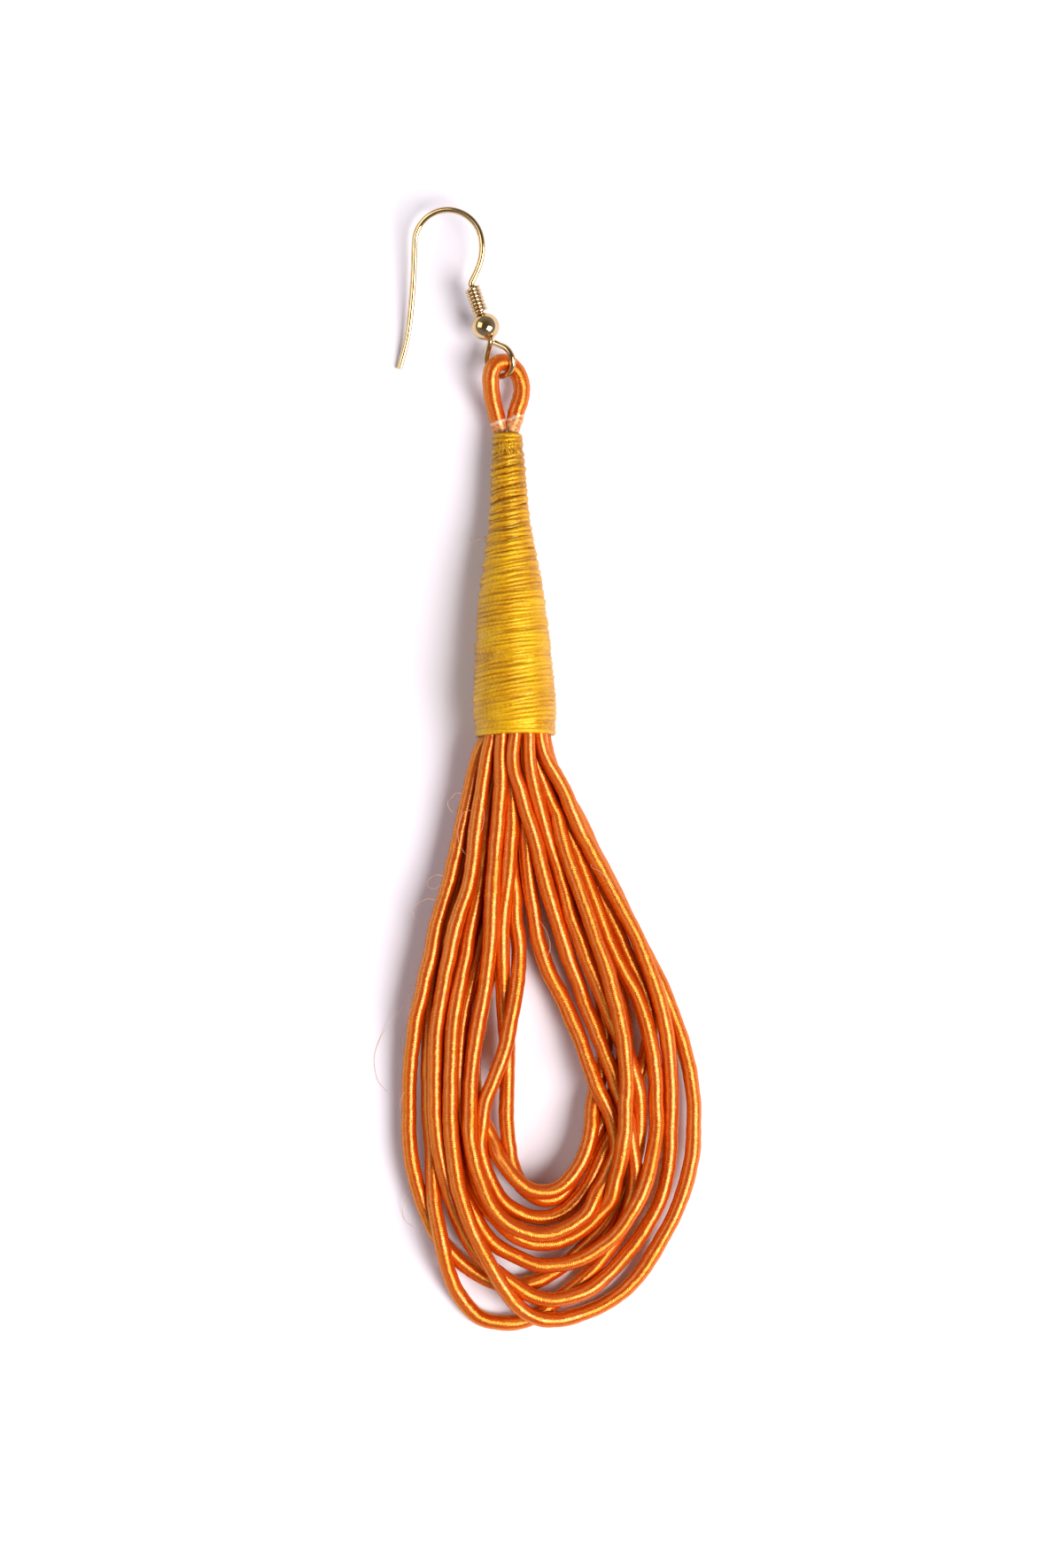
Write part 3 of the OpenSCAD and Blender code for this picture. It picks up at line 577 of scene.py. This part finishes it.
deep = eye_thickness(4.6, 1.5)
wide = eye_thickness(4.3, 0.7)
eye_radii = deep * wide / 2 / np.sqrt((deep * np.sin(round_at)) ** 2 + (wide * np.cos(round_at)) ** 2)
eye_run = np.arange(len(eye_line)) / EYE_STEPS
eye_radii = eye_radii * (1 + 0.03 * slow_noise(eye_run * 3, 71)[:, None])


def range_node(tree, value, start, end, low=0.0, high=1.0, smooth=False):
    """Low where the value is at its start or before, and high where it is at its end or past it."""
    node = tree.nodes.new("ShaderNodeMapRange")
    node.interpolation_type = "SMOOTHSTEP" if smooth else "LINEAR"
    node.inputs["From Min"].default_value = start
    node.inputs["From Max"].default_value = end
    node.inputs["To Min"].default_value = low
    node.inputs["To Max"].default_value = high
    tree.links.new(value, node.inputs["Value"])
    return node.outputs["Result"]


def mix_node(tree, factor, first, second):
    """One colour, and a second one, a colour or a socket, where the factor is 1."""
    node = tree.nodes.new("ShaderNodeMix")
    node.data_type = "RGBA"
    tree.links.new(factor, node.inputs["Factor"])
    tree.links.new(first, node.inputs["A"])
    if isinstance(second, tuple):
        node.inputs["B"].default_value = (*second, 1)
    else:
        tree.links.new(second, node.inputs["B"])
    return node.outputs["Result"]


# The legs are soaked with glue up to a ragged, slanting line, where a pale rim is painted: partly glue dried
# pale, partly a painted highlight.
glued = satin.copy()
glued.name = "glued_satin"
tree = glued.node_tree
shader = tree.nodes["Principled BSDF"]
cord_colour = shader.inputs["Base Color"].links[0].from_socket
place = object_place(tree)
x_at, y_at, z_at = split_node(tree, place)
wave = noise_node(tree, place, 1500, 2)
level = weighted_sum(tree, (y_at, 1), (x_at, -0.3), (wave, 0.0009))
soaked = range_node(tree, level, 0.0054, 0.0048)
frayed = noise_node(tree, place, 3200, 3, 0.7)
# Painted highlight: the pale rim stands partly for dried glue and partly for the highlight along the legs.
pale_rim_and_highlight = ramp_node(tree, math_node(tree, "MULTIPLY", level, 100),
                [(0.0, (0.1, 0.1, 0.1)), (0.51, (0.1, 0.1, 0.1)), (0.535, (1.0, 1.0, 1.0)),
                 (0.545, (0.95, 0.95, 0.95)), (0.565, (0, 0, 0))])
pale_rim_and_highlight = math_node(tree, "MULTIPLY", pale_rim_and_highlight, math_node(tree, "MULTIPLY", frayed, 1.7))
glue_colour = ramp_node(tree, frayed, [(0.38, (0.40, 0.09, 0.012)), (0.5, (0.58, 0.20, 0.035)),
                                       (0.62, (0.74, 0.40, 0.14))])
brown = mix_node(tree, soaked, cord_colour, glue_colour)
crust_and_highlight = mix_node(tree, pale_rim_and_highlight, brown, (0.86, 0.70, 0.60))
tree.links.new(crust_and_highlight, shader.inputs["Base Color"])
tree.links.new(range_node(tree, soaked, 0, 1, 1.0, 0.3), shader.inputs["Specular IOR Level"])
cord_eye = cord_tube("cord_eye", eye_line, eye_radii, EYE_CORD_SIDES, glued)
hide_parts("eye_cord")
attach(cord_eye, "root")


# Neck. One long waxed two-ply thread in golden yellow, wound turn beside turn over the cords' ends.
# It starts square at the mouth, then climbs to the right, and is pulled into coarser ridges above.
NECK_LEN = 34.4
NECK_SHAPE = np.array([(0, 4.45), (1.2, 4.6), (2.8, 4.65), (4.8, 4.58), (7.9, 4.4), (11, 4.15), (14, 3.85),
                       (17.3, 3.5), (19, 3.2), (20.7, 2.92), (23.9, 2.4), (27.3, 2.1), (31, 1.92),
                       (34.4, 1.65)], dtype=float)
THREAD_R = 0.36
THREAD_PITCH = 0.5
THREAD_STEP = 0.17
THREAD_FROM = 0.27
THREAD_RUN = NECK_LEN - 0.6
THREAD_ENDS = 0.24
PLY_SIDES = 8
PLY_TURN = 1.1
TURN_TILT = math.tan(math.radians(9.5))
END_FADE = 2.0
UPPER_FROM = 17.0
UPPER_FADE = 6.0
RIDGE_PITCH = 1.25


def neck_r(along):
    return np.interp(along, NECK_SHAPE[:, 0], NECK_SHAPE[:, 1])


def off_the_ends(along):
    """0 at both ends of the neck, where the turns are square to it, and 1 between them."""
    return np.clip(along / END_FADE, 0, 1) * np.clip((NECK_LEN - along) / END_FADE, 0, 1)


def upper_part(along):
    return np.clip((along - UPPER_FROM) / UPPER_FADE, 0, 1)


def between_ridges(along):
    """1 in the hollow between two of the coarse ridges, 0 on their backs."""
    ridge = 0.5 + 0.5 * np.cos(2 * math.pi * (along / RIDGE_PITCH + 0.22 * slow_noise(along * 0.8, 5)))
    return (1 - ridge) ** 3


def in_neck_round(along_neck, out_from_middle, turned_to):
    """Points in the neck by their distance from the mouth, from its middle line, and their turn about it."""
    return (MOUTH[None, :] + along_neck[:, None] * NECK_RUN
            + (out_from_middle * np.cos(turned_to))[:, None] * NECK_SIDE
            + (out_from_middle * np.sin(turned_to))[:, None] * NECK_UP)


# The thread is wound evenly first, in many small turns of the angle, and then cut into equal steps.
along = THREAD_FROM + THREAD_RUN * np.linspace(0, 1, 200000)
angle = (along - THREAD_FROM) / THREAD_PITCH * 2 * math.pi
walked = np.concatenate([[0], np.cumsum(neck_r(along[1:]) * np.diff(angle))])
steps = np.arange(0, walked[-1], THREAD_STEP)
angle = np.interp(steps, walked, angle)
along = np.interp(steps, walked, along)
fade = off_the_ends(along)
fade = fade * fade * (3 - 2 * fade)
upper = upper_part(along)
turn_no = angle / (2 * math.pi)
lean = TURN_TILT * (1 + 0.35 * upper + 0.25 * slow_noise(turn_no * 0.4, 9))
lean = lean * neck_r(along) * np.cos(angle) * fade
pulled = (0.16 * slow_noise(turn_no * 0.9, 3) + 0.12 * slow_noise(turn_no * 4.0, 4)
          + 0.07 * slow_noise(turn_no * 11.0, 14)) * fade
shown = np.clip(along + lean + pulled, THREAD_ENDS, NECK_LEN - THREAD_ENDS)
depth = (0.84 * THREAD_R + 0.05 * slow_noise(turn_no * 1.1, 8) + 0.06 * slow_noise(turn_no * 5.3, 6)
         + 0.18 * upper * between_ridges(along) * fade * (0.6 + 0.4 * slow_noise(turn_no * 3.1, 15)))
middle = in_neck_round(shown, neck_r(shown) - depth, angle)
ply = np.arange(PLY_SIDES)[None, :] * 2 * math.pi / PLY_SIDES - (steps / PLY_TURN * 2 * math.pi)[:, None]
section = THREAD_R * (0.95 + 0.05 * np.cos(2 * ply))

# The thread's look: long waxy streaks along it, its two plies seen on the left flank with painted shade in
# the grooves between them, that flank painted darker as shade, painted shade where it lies deep, and two
# stains near the top.
STREAK_TURN = 7
waxed, tree, shader = new_look("waxed_yellow_thread")
along_thread, round_thread = cord_map(tree)
place = object_place(tree)
x_at, y_at, z_at = split_node(tree, place)
patches = noise_node(tree, place, 260, 3)
grain = noise_node(tree, place, 3500, 2, 0.6)
strand = ridges(tree, weighted_sum(tree, (along_thread, 2 / PLY_TURN), (round_thread, 2)))
turned_by = weighted_sum(tree, (along_thread, 2 * math.pi / STREAK_TURN), (round_thread, 2 * math.pi))
streak_place = joint_node(tree, math_node(tree, "COSINE", turned_by), math_node(tree, "SINE", turned_by),
                          math_node(tree, "MULTIPLY", along_thread, 0.35))
streak = range_node(tree, noise_node(tree, streak_place, 4.0, 4, 0.7), 0.36, 0.64)
# Painted shade: the left flank, away from the key light, is darker, and the grooves between the plies are
# darkest there.
shaded_left_flank = range_node(tree, x_at, 0.0035, 0.0, smooth=True)
twist_seen = math_node(tree, "MULTIPLY", strand, math_node(tree, "ADD", shaded_left_flank, 0.25))
# Painted shade: the thread is darkened where it lies deep below the neck's outline, between the turns and in
# the hollows between the ridges.
inset = tree.nodes.new("ShaderNodeAttribute")
inset.attribute_name = "inset"
deep_shade = range_node(tree, inset.outputs["Fac"], 0.00001, 0.00015)
darker_above = range_node(tree, y_at, -0.014, 0.002, high=0.12, smooth=True)
tone = weighted_sum(tree, (patches, 0.7), (streak, 0.5), (twist_seen, 0.2), (grain, 0.35),
                    (shaded_left_flank, -0.14), (darker_above, -1), (deep_shade, -0.38))
tone = math_node(tree, "SUBTRACT", tone, 0.25)
colour = ramp_node(tree, tone, [(0.12, (0.20, 0.045, 0.002)), (0.32, (0.45, 0.14, 0.001)),
                                (0.52, (0.60, 0.265, 0.001)), (0.78, (0.78, 0.45, 0.004))])
over_flat = joint_node(tree, x_at, y_at)
for stain_at, stain_colour, reach in (((0.0020, 0.0015, 0), (0.03, 0.012, 0.005), 0.001),
                                      ((-0.0016, -0.0120, 0), (0.36, 0.01, 0.006), 0.0014)):
    from_stain = tree.nodes.new("ShaderNodeVectorMath")
    from_stain.operation = "DISTANCE"
    tree.links.new(over_flat, from_stain.inputs[0])
    from_stain.inputs[1].default_value = stain_at
    ragged_edge = weighted_sum(tree, (from_stain.outputs["Value"], 1), (grain, reach * 0.3))
    colour = mix_node(tree, range_node(tree, ragged_edge, reach * 0.45, reach * 0.15), colour, stain_colour)
tree.links.new(colour, shader.inputs["Base Color"])
thread_relief = weighted_sum(tree, (twist_seen, 1), (streak, 1.4), (grain, 0.5))
tree.links.new(bump_node(tree, thread_relief, 0.000013), shader.inputs["Normal"])
wax_relief = weighted_sum(tree, (streak, 0.6), (grain, 1))
tree.links.new(bump_node(tree, wax_relief, 0.000024), shader.inputs["Coat Normal"])
tree.links.new(range_node(tree, streak, 0, 1, 0.36, 0.18), shader.inputs["Roughness"])
brush_along(tree, shader)
shader.inputs["Anisotropic"].default_value = 0.75
shader.inputs["Anisotropic Rotation"].default_value = 0.25
shader.inputs["IOR"].default_value = 2.6
shader.inputs["Specular IOR Level"].default_value = 0.5
shader.inputs["Specular Tint"].default_value = (1.0, 0.78, 0.04, 1)
shader.inputs["Coat Weight"].default_value = 0.3
shader.inputs["Coat Roughness"].default_value = 0.1
shader.inputs["Coat Tint"].default_value = (1.0, 0.93, 0.6, 1)
neck = cord_tube("wound_neck", middle, section, PLY_SIDES, waxed)

# The wax bed: the wax between the turns, which follows their lean and their ridges. It is one closed
# form that fills the neck, so the core and the cords' ends are hidden in it. Its map is drawn again
# in wide bands, so that its streaks run round the neck.
BED_SIDES = 96
BED_ROWS = 240
BED_ENDS = 0.12
BAND_ROUND = 22
BAND_PITCH = 2.3
WAX_DEPTH = 0.07
HOLLOW_DEPTH = 0.22
LUMP_HEIGHT = 0.07
at = np.linspace(BED_ENDS, NECK_LEN - BED_ENDS, BED_ROWS)
bed_turn = np.arange(BED_SIDES)[None, :] / BED_SIDES
bed_upper = upper_part(at)
bed_lean = TURN_TILT * (1 + 0.35 * bed_upper) * neck_r(at) * off_the_ends(at)
row_at = np.clip(at[:, None] - bed_lean[:, None] * np.sin(2 * math.pi * bed_turn), 0, NECK_LEN)
wax_depth = WAX_DEPTH + 0.01 * bed_upper[:, None] + HOLLOW_DEPTH * bed_upper[:, None] * between_ridges(row_at)
lumps = np.stack([slow_noise(row_at[:, k] * 2.3, 50 + k // 8) for k in range(BED_SIDES)], axis=1)
lumps = sum(np.roll(lumps, k, axis=1) for k in range(-6, 7)) / 13
bed_radii = neck_r(at)[:, None] - wax_depth + LUMP_HEIGHT * lumps
bed = cord_tube("wound_bed", MOUTH[None, :] + at[:, None] * NECK_RUN, bed_radii, BED_SIDES, waxed)
grid = []
for k in range(BED_ROWS - 1):
    below, above = at[k] / BAND_PITCH, at[k + 1] / BAND_PITCH
    for n in range(BED_SIDES):
        first = (n / BED_SIDES + 0.5) % 1
        second = first + 1 / BED_SIDES
        grid += [(BAND_ROUND * first, below), (BAND_ROUND * second, below),
                 (BAND_ROUND * second, above), (BAND_ROUND * first, above)]
grid += [(0, 0)] * (2 * BED_SIDES)
bed.data.uv_layers["along"].data.foreach_set("uv", np.array(grid).ravel())

# Tucked strands: the last bits of thread, pushed under the top turns, and one hair that hangs off the
# neck's left side. Columns: place round the neck in degrees, lower end, upper end, slant.
tucks = [(44, 31.6, 33.2, 1.3), (55, 31.4, 33.5, 1.1), (65, 31.6, 33.3, 0.7), (76, 31.3, 33.6, 0.9),
         (87, 31.5, 33.4, 0.4), (97, 31.4, 33.6, 0.7), (108, 31.6, 33.4, 0.2), (119, 31.4, 33.3, 0.5),
         (130, 31.7, 33.1, 0.1)]
STRAND_R = 0.17
STRAND_SINKS = 0.14
STRAND_ENDS_SINK = 0.3
strays = []
for turn, low_end, high_end, slant in tucks:
    part = np.linspace(0, 1, 24)
    climb = low_end + (high_end - low_end) * part
    swing = np.radians(turn) + np.radians(16) * slant * (part - 0.5) + 0.05 * np.sin(part * 5 + turn)
    from_middle = neck_r(climb) - STRAND_SINKS - STRAND_ENDS_SINK * (2 * part - 1) ** 4
    strand_radii = STRAND_R + 0.03 * np.sin(part * 9 + turn)
    strand_line = in_neck_round(climb, from_middle, swing)
    strays.append(cord_tube("tucked_strand", strand_line, strand_radii, 12, waxed))
hair = smooth_line([(1.1, -7.2, 3.4), (0.5, -7.35, 3.1), (0.0, -7.6, 2.6), (-0.5, -7.5, 2.2),
                    (-0.8, -7.2, 2.0)], 5)
strays.append(cord_tube("loose_hair", hair, np.full(len(hair), 0.035), 6, pale))
neck = joined([neck, bed] + strays)

# How deep each point lies below the neck's outline, in metres, for the material to paint shade by: the
# deeper, the darker.
verts = np.empty(len(neck.data.vertices) * 3)
neck.data.vertices.foreach_get("co", verts)
from_mouth = verts.reshape(-1, 3) / MM - MOUTH
up_neck = from_mouth @ NECK_RUN
inset_depth = (neck_r(up_neck) - np.linalg.norm(from_mouth - up_neck[:, None] * NECK_RUN, axis=1)) * MM
layer = neck.data.attributes.new(name="inset", type="FLOAT", domain="POINT")
layer.data.foreach_set("value", inset_depth)
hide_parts("thread_wrap")
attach(neck, "root")


# Bound core. The glued and trimmed ends of the cords, in one solid that the wax bed hides. It stays
# as modelled and only gets its look, dark orange fibres stiff with glue.
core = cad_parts["bound_core"]
glue, tree, shader = new_look("glued_ends")
cut_ends = noise_node(tree, object_place(tree), 2400, 4, 0.65)
colour = ramp_node(tree, cut_ends, [(0.3, (0.05, 0.008, 0.002)), (0.55, (0.30, 0.04, 0.005)),
                                    (0.75, (0.55, 0.16, 0.03))])
tree.links.new(colour, shader.inputs["Base Color"])
tree.links.new(bump_node(tree, cut_ends, 0.0001, 0.8), shader.inputs["Normal"])
shader.inputs["Roughness"].default_value = 0.45
core.data.materials.clear()
core.data.materials.append(glue)


# Ear wire. Gold plated wire 0.7 mm thick, bent from the teardrop eye up through the ball and the
# coil, round the bend that sits in the ear, and down the long tail. The cord eye holds the shank clear
# of the table, and the hook dips sideways until the tail's end touches it.
WIRE_R = 0.35
SHANK_HEADING = math.radians(109)
SHANK = Vector((math.cos(SHANK_HEADING), math.sin(SHANK_HEADING), 0))
SHANK_LEN = 6.6
FOOT = Vector((1.6, 14.8, 3.4))
EYE_R = 1.75
EYE_REACH = 2.4
EYE_END = 0.45
EYE_ANGLE = math.radians(295)
EYE_TURN = math.radians(36)
KNEE_R = 0.55
TIP_RUN = 0.24
TIP_ROUND = 0.06
TAIL_SIDE = 4
SPIN_SIGN = -1
# Bends and runs from the coil to the tip: radius and degrees, or 0 and the length of a straight run.
HOOK_MOVES = [(0.6, -45), (0, 1.3), (5.9, 36), (4.0, 80), (3.6, 88), (0, 2.2), (80, -5), (20, -9),
              (0, 1.7)]


def run_on(at, way, length):
    bpy.ops.mesh.extrude_region_move(TRANSFORM_OT_translate={"value": way * length * MM})
    return at + way * length * MM


def bend(at, way, axis, radius, angle, steps):
    """Spins the open end about an axis to the left of its way, or to the right for a negative angle.

    The spin tool counts its angle the other way round from a rotation matrix, hence SPIN_SIGN.
    """
    side = 1 if angle > 0 else -1
    centre = at + axis.cross(way) * side * radius * MM
    bpy.ops.mesh.spin(steps=steps, angle=SPIN_SIGN * angle, center=centre, axis=axis)
    turn = Matrix.Rotation(angle, 3, axis)
    return centre + turn @ (at - centre), turn @ way


def finish_shape(smooth_below):
    """Turns the faces outward, leaves edit mode, and smooths the edges flatter than an angle in degrees."""
    bpy.ops.mesh.select_all(action="SELECT")
    bpy.ops.mesh.normals_make_consistent(inside=False)
    bpy.ops.object.mode_set(mode="OBJECT")
    bpy.ops.object.shade_smooth_by_angle(angle=math.radians(smooth_below))


def thread_on_shank(piece, along):
    """Takes a piece made upright at the origin to its place along the shank."""
    piece.rotation_euler = SHANK.to_track_quat("Z", "Y").to_euler()
    piece.location = (FOOT + along * SHANK) * MM
    bpy.ops.object.transform_apply(location=True, rotation=True, scale=True)


eye_half = math.asin(EYE_R / EYE_REACH)
eye_leg = EYE_REACH * math.cos(eye_half)
turned = Matrix.Rotation(EYE_ANGLE, 3, "Z") @ Matrix.Rotation(EYE_TURN, 3, "X")
way = turned @ Vector((math.cos(eye_half), math.sin(eye_half), 0))
at = (FOOT + EYE_END * way) * MM
eye_axis = turned @ Vector((0, 0, 1))
flat_axis = Vector((0, 0, 1))
bpy.ops.object.select_all(action="DESELECT")
bpy.ops.mesh.primitive_circle_add(vertices=16, radius=WIRE_R * MM, location=at,
                                  rotation=way.to_track_quat("Z", "Y").to_euler())
ear_wire = bpy.context.object
ear_wire.name = "ear_wire"
bpy.ops.object.transform_apply(location=True, rotation=True, scale=True)
bpy.ops.object.mode_set(mode="EDIT")
bpy.ops.mesh.select_all(action="SELECT")
at = run_on(at, way, eye_leg - EYE_END)
at, way = bend(at, way, eye_axis, EYE_R, -(math.pi + 2 * eye_half), 40)
knee = way.angle(SHANK)
knee_run = KNEE_R * math.tan(knee / 2)
at = run_on(at, way, eye_leg - knee_run)
at, way = bend(at, way, way.cross(SHANK).normalized(), KNEE_R, knee, 8)
at = run_on(at, way, SHANK_LEN - knee_run)
for radius, amount in HOOK_MOVES:
    if radius == 0:
        at = run_on(at, way, amount)
    else:
        at, way = bend(at, way, flat_axis, radius, math.radians(amount), max(4, int(abs(amount) / 3)))
at = run_on(at, way, TIP_RUN)
run_on(at, way, TIP_ROUND)
bpy.ops.transform.resize(value=(0.8, 0.8, 0.8), center_override=at + way * TIP_ROUND * MM)
bpy.ops.mesh.edge_face_add()
bpy.ops.mesh.select_all(action="DESELECT")
bpy.ops.mesh.select_non_manifold()
bpy.ops.mesh.edge_face_add()
finish_shape(40)

# The hook above the shank, and the tail beside it, dip until the tail's end touches the table.
shank_left = Vector((-SHANK.y, SHANK.x, 0))
hook_dip = (FOOT.z - WIRE_R) / (at / MM - FOOT).dot(shank_left)
for vert in ear_wire.data.vertices:
    from_foot = vert.co / MM - FOOT
    to_left = from_foot.dot(shank_left)
    if from_foot.dot(SHANK) > SHANK_LEN or to_left > TAIL_SIDE:
        vert.co.z -= hook_dip * to_left * MM

gold, tree, shader = new_look("gold_plate")
place = object_place(tree)
wear = noise_node(tree, place, 700, 4)
colour = ramp_node(tree, wear, [(0.35, (0.66, 0.46, 0.21)), (0.65, (0.75, 0.58, 0.33))])
tree.links.new(colour, shader.inputs["Base Color"])
fine_wear = noise_node(tree, place, 9000, 2)
tree.links.new(range_node(tree, fine_wear, 0, 1, 0.05, 0.16), shader.inputs["Roughness"])
tree.links.new(bump_node(tree, wear, 0.00001, 0.25), shader.inputs["Normal"])
shader.inputs["Metallic"].default_value = 1.0
ear_wire.data.materials.append(gold)
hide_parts("ear_hook")
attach(ear_wire, "root")


# Coil. Eight close turns of fine gold wire, wound on the shank above the ball.
COIL_ALONG = 3.2
COIL_LEN = 3.4
COIL_TURNS = 8
COIL_PITCH = COIL_LEN / COIL_TURNS
COIL_WIRE_R = COIL_PITCH / 2 * 0.97
COIL_RING = 0.9 - COIL_PITCH / 2
bpy.ops.object.select_all(action="DESELECT")
bpy.ops.mesh.primitive_circle_add(vertices=10, radius=COIL_WIRE_R * MM, location=(0, -COIL_RING * MM, 0),
                                  rotation=(0, math.pi / 2, 0))
coil = bpy.context.object
coil.name = "hook_coil_wire"
bpy.ops.object.transform_apply(location=True, rotation=True, scale=True)
winding = coil.modifiers.new("winding", "SCREW")
winding.axis = "Z"
winding.angle = 2 * math.pi
winding.iterations = COIL_TURNS - 1
winding.screw_offset = COIL_PITCH * MM
winding.steps = winding.render_steps = 28
winding.use_merge_vertices = False
bpy.ops.object.modifier_apply(modifier="winding")
bpy.ops.object.mode_set(mode="EDIT")
bpy.ops.mesh.select_all(action="DESELECT")
bpy.ops.mesh.select_non_manifold()
bpy.ops.mesh.edge_face_add()
finish_shape(50)
thread_on_shank(coil, COIL_ALONG + COIL_PITCH / 2)
coil.data.materials.append(gold)
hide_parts("hook_coil")
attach(coil, "root")


# Ball. A polished hollow gold bead, drilled through and threaded on the shank below the coil.
BALL_R = 1.55
BALL_ALONG = 1.75
HOLE_R = 0.4
bpy.ops.object.select_all(action="DESELECT")
bpy.ops.mesh.primitive_uv_sphere_add(segments=64, ring_count=48, radius=BALL_R * MM)
bead = bpy.context.object
bead.name = "hook_bead"
bpy.ops.object.mode_set(mode="EDIT")
shape = bmesh.from_edit_mesh(bead.data)
for vert in shape.verts:
    vert.select = vert.co.xy.length < HOLE_R * MM
shape.select_flush_mode()
bpy.ops.mesh.delete(type="VERT")
bpy.ops.mesh.select_all(action="DESELECT")
bpy.ops.mesh.select_non_manifold()
bpy.ops.mesh.bridge_edge_loops()
finish_shape(40)
thread_on_shank(bead, BALL_ALONG)
bead.data.materials.append(gold)
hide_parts("hook_ball")
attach(bead, "root")


# Table and lights. A plain white table under soft light. The key is a softbox high on the
# photograph's right and low side, which draws the bright line along every cord.
bpy.ops.object.select_all(action="DESELECT")
bpy.ops.mesh.primitive_plane_add(size=1.2, location=(0, 0, 0))
table = bpy.context.object
table.name = "table"
white, tree, shader = new_look("white_table")
shader.inputs["Base Color"].default_value = (0.86, 0.828, 0.915, 1)
shader.inputs["Roughness"].default_value = 0.75
table.data.materials.append(white)

EARRING_MIDDLE = Vector((0.0062, -0.035, 0.002))
LIGHT_REACH = 0.9


def softbox(name, toward, size, watts, colour):
    """A rectangular light at LIGHT_REACH from the middle of the earring, facing it."""
    reach = Vector(toward).normalized() * LIGHT_REACH
    bpy.ops.object.select_all(action="DESELECT")
    bpy.ops.object.light_add(type="AREA", location=EARRING_MIDDLE + reach)
    lamp = bpy.context.object
    lamp.name = name
    lamp.data.shape = "RECTANGLE"
    lamp.data.size, lamp.data.size_y = size
    lamp.data.energy = watts
    lamp.data.color = colour
    lamp.rotation_euler = reach.to_track_quat("Z", "Y").to_euler()


softbox("key", (0.71, -0.38, 1.0), (0.52, 0.56), 12.5, (1.0, 0.98, 0.94))
softbox("fill", (-1.2, 0.35, 1.0), (0.6, 0.6), 2.4, (1.0, 0.96, 0.9))
world = bpy.data.worlds.new("room")
world.use_nodes = True
tree = world.node_tree
generated = tree.nodes.new("ShaderNodeTexCoord").outputs["Generated"]
x_at, y_at, z_at = split_node(tree, generated)
colour = ramp_node(tree, z_at, [(0.0, (0.9, 0.8, 0.95)), (0.5, (0.8, 0.74, 0.9)),
                                (0.8, (0.45, 0.42, 0.4)), (0.95, (0.3, 0.28, 0.26))])
tree.links.new(colour, tree.nodes["Background"].inputs["Color"])
tree.nodes["Background"].inputs["Strength"].default_value = 0.32
bpy.context.scene.world = world
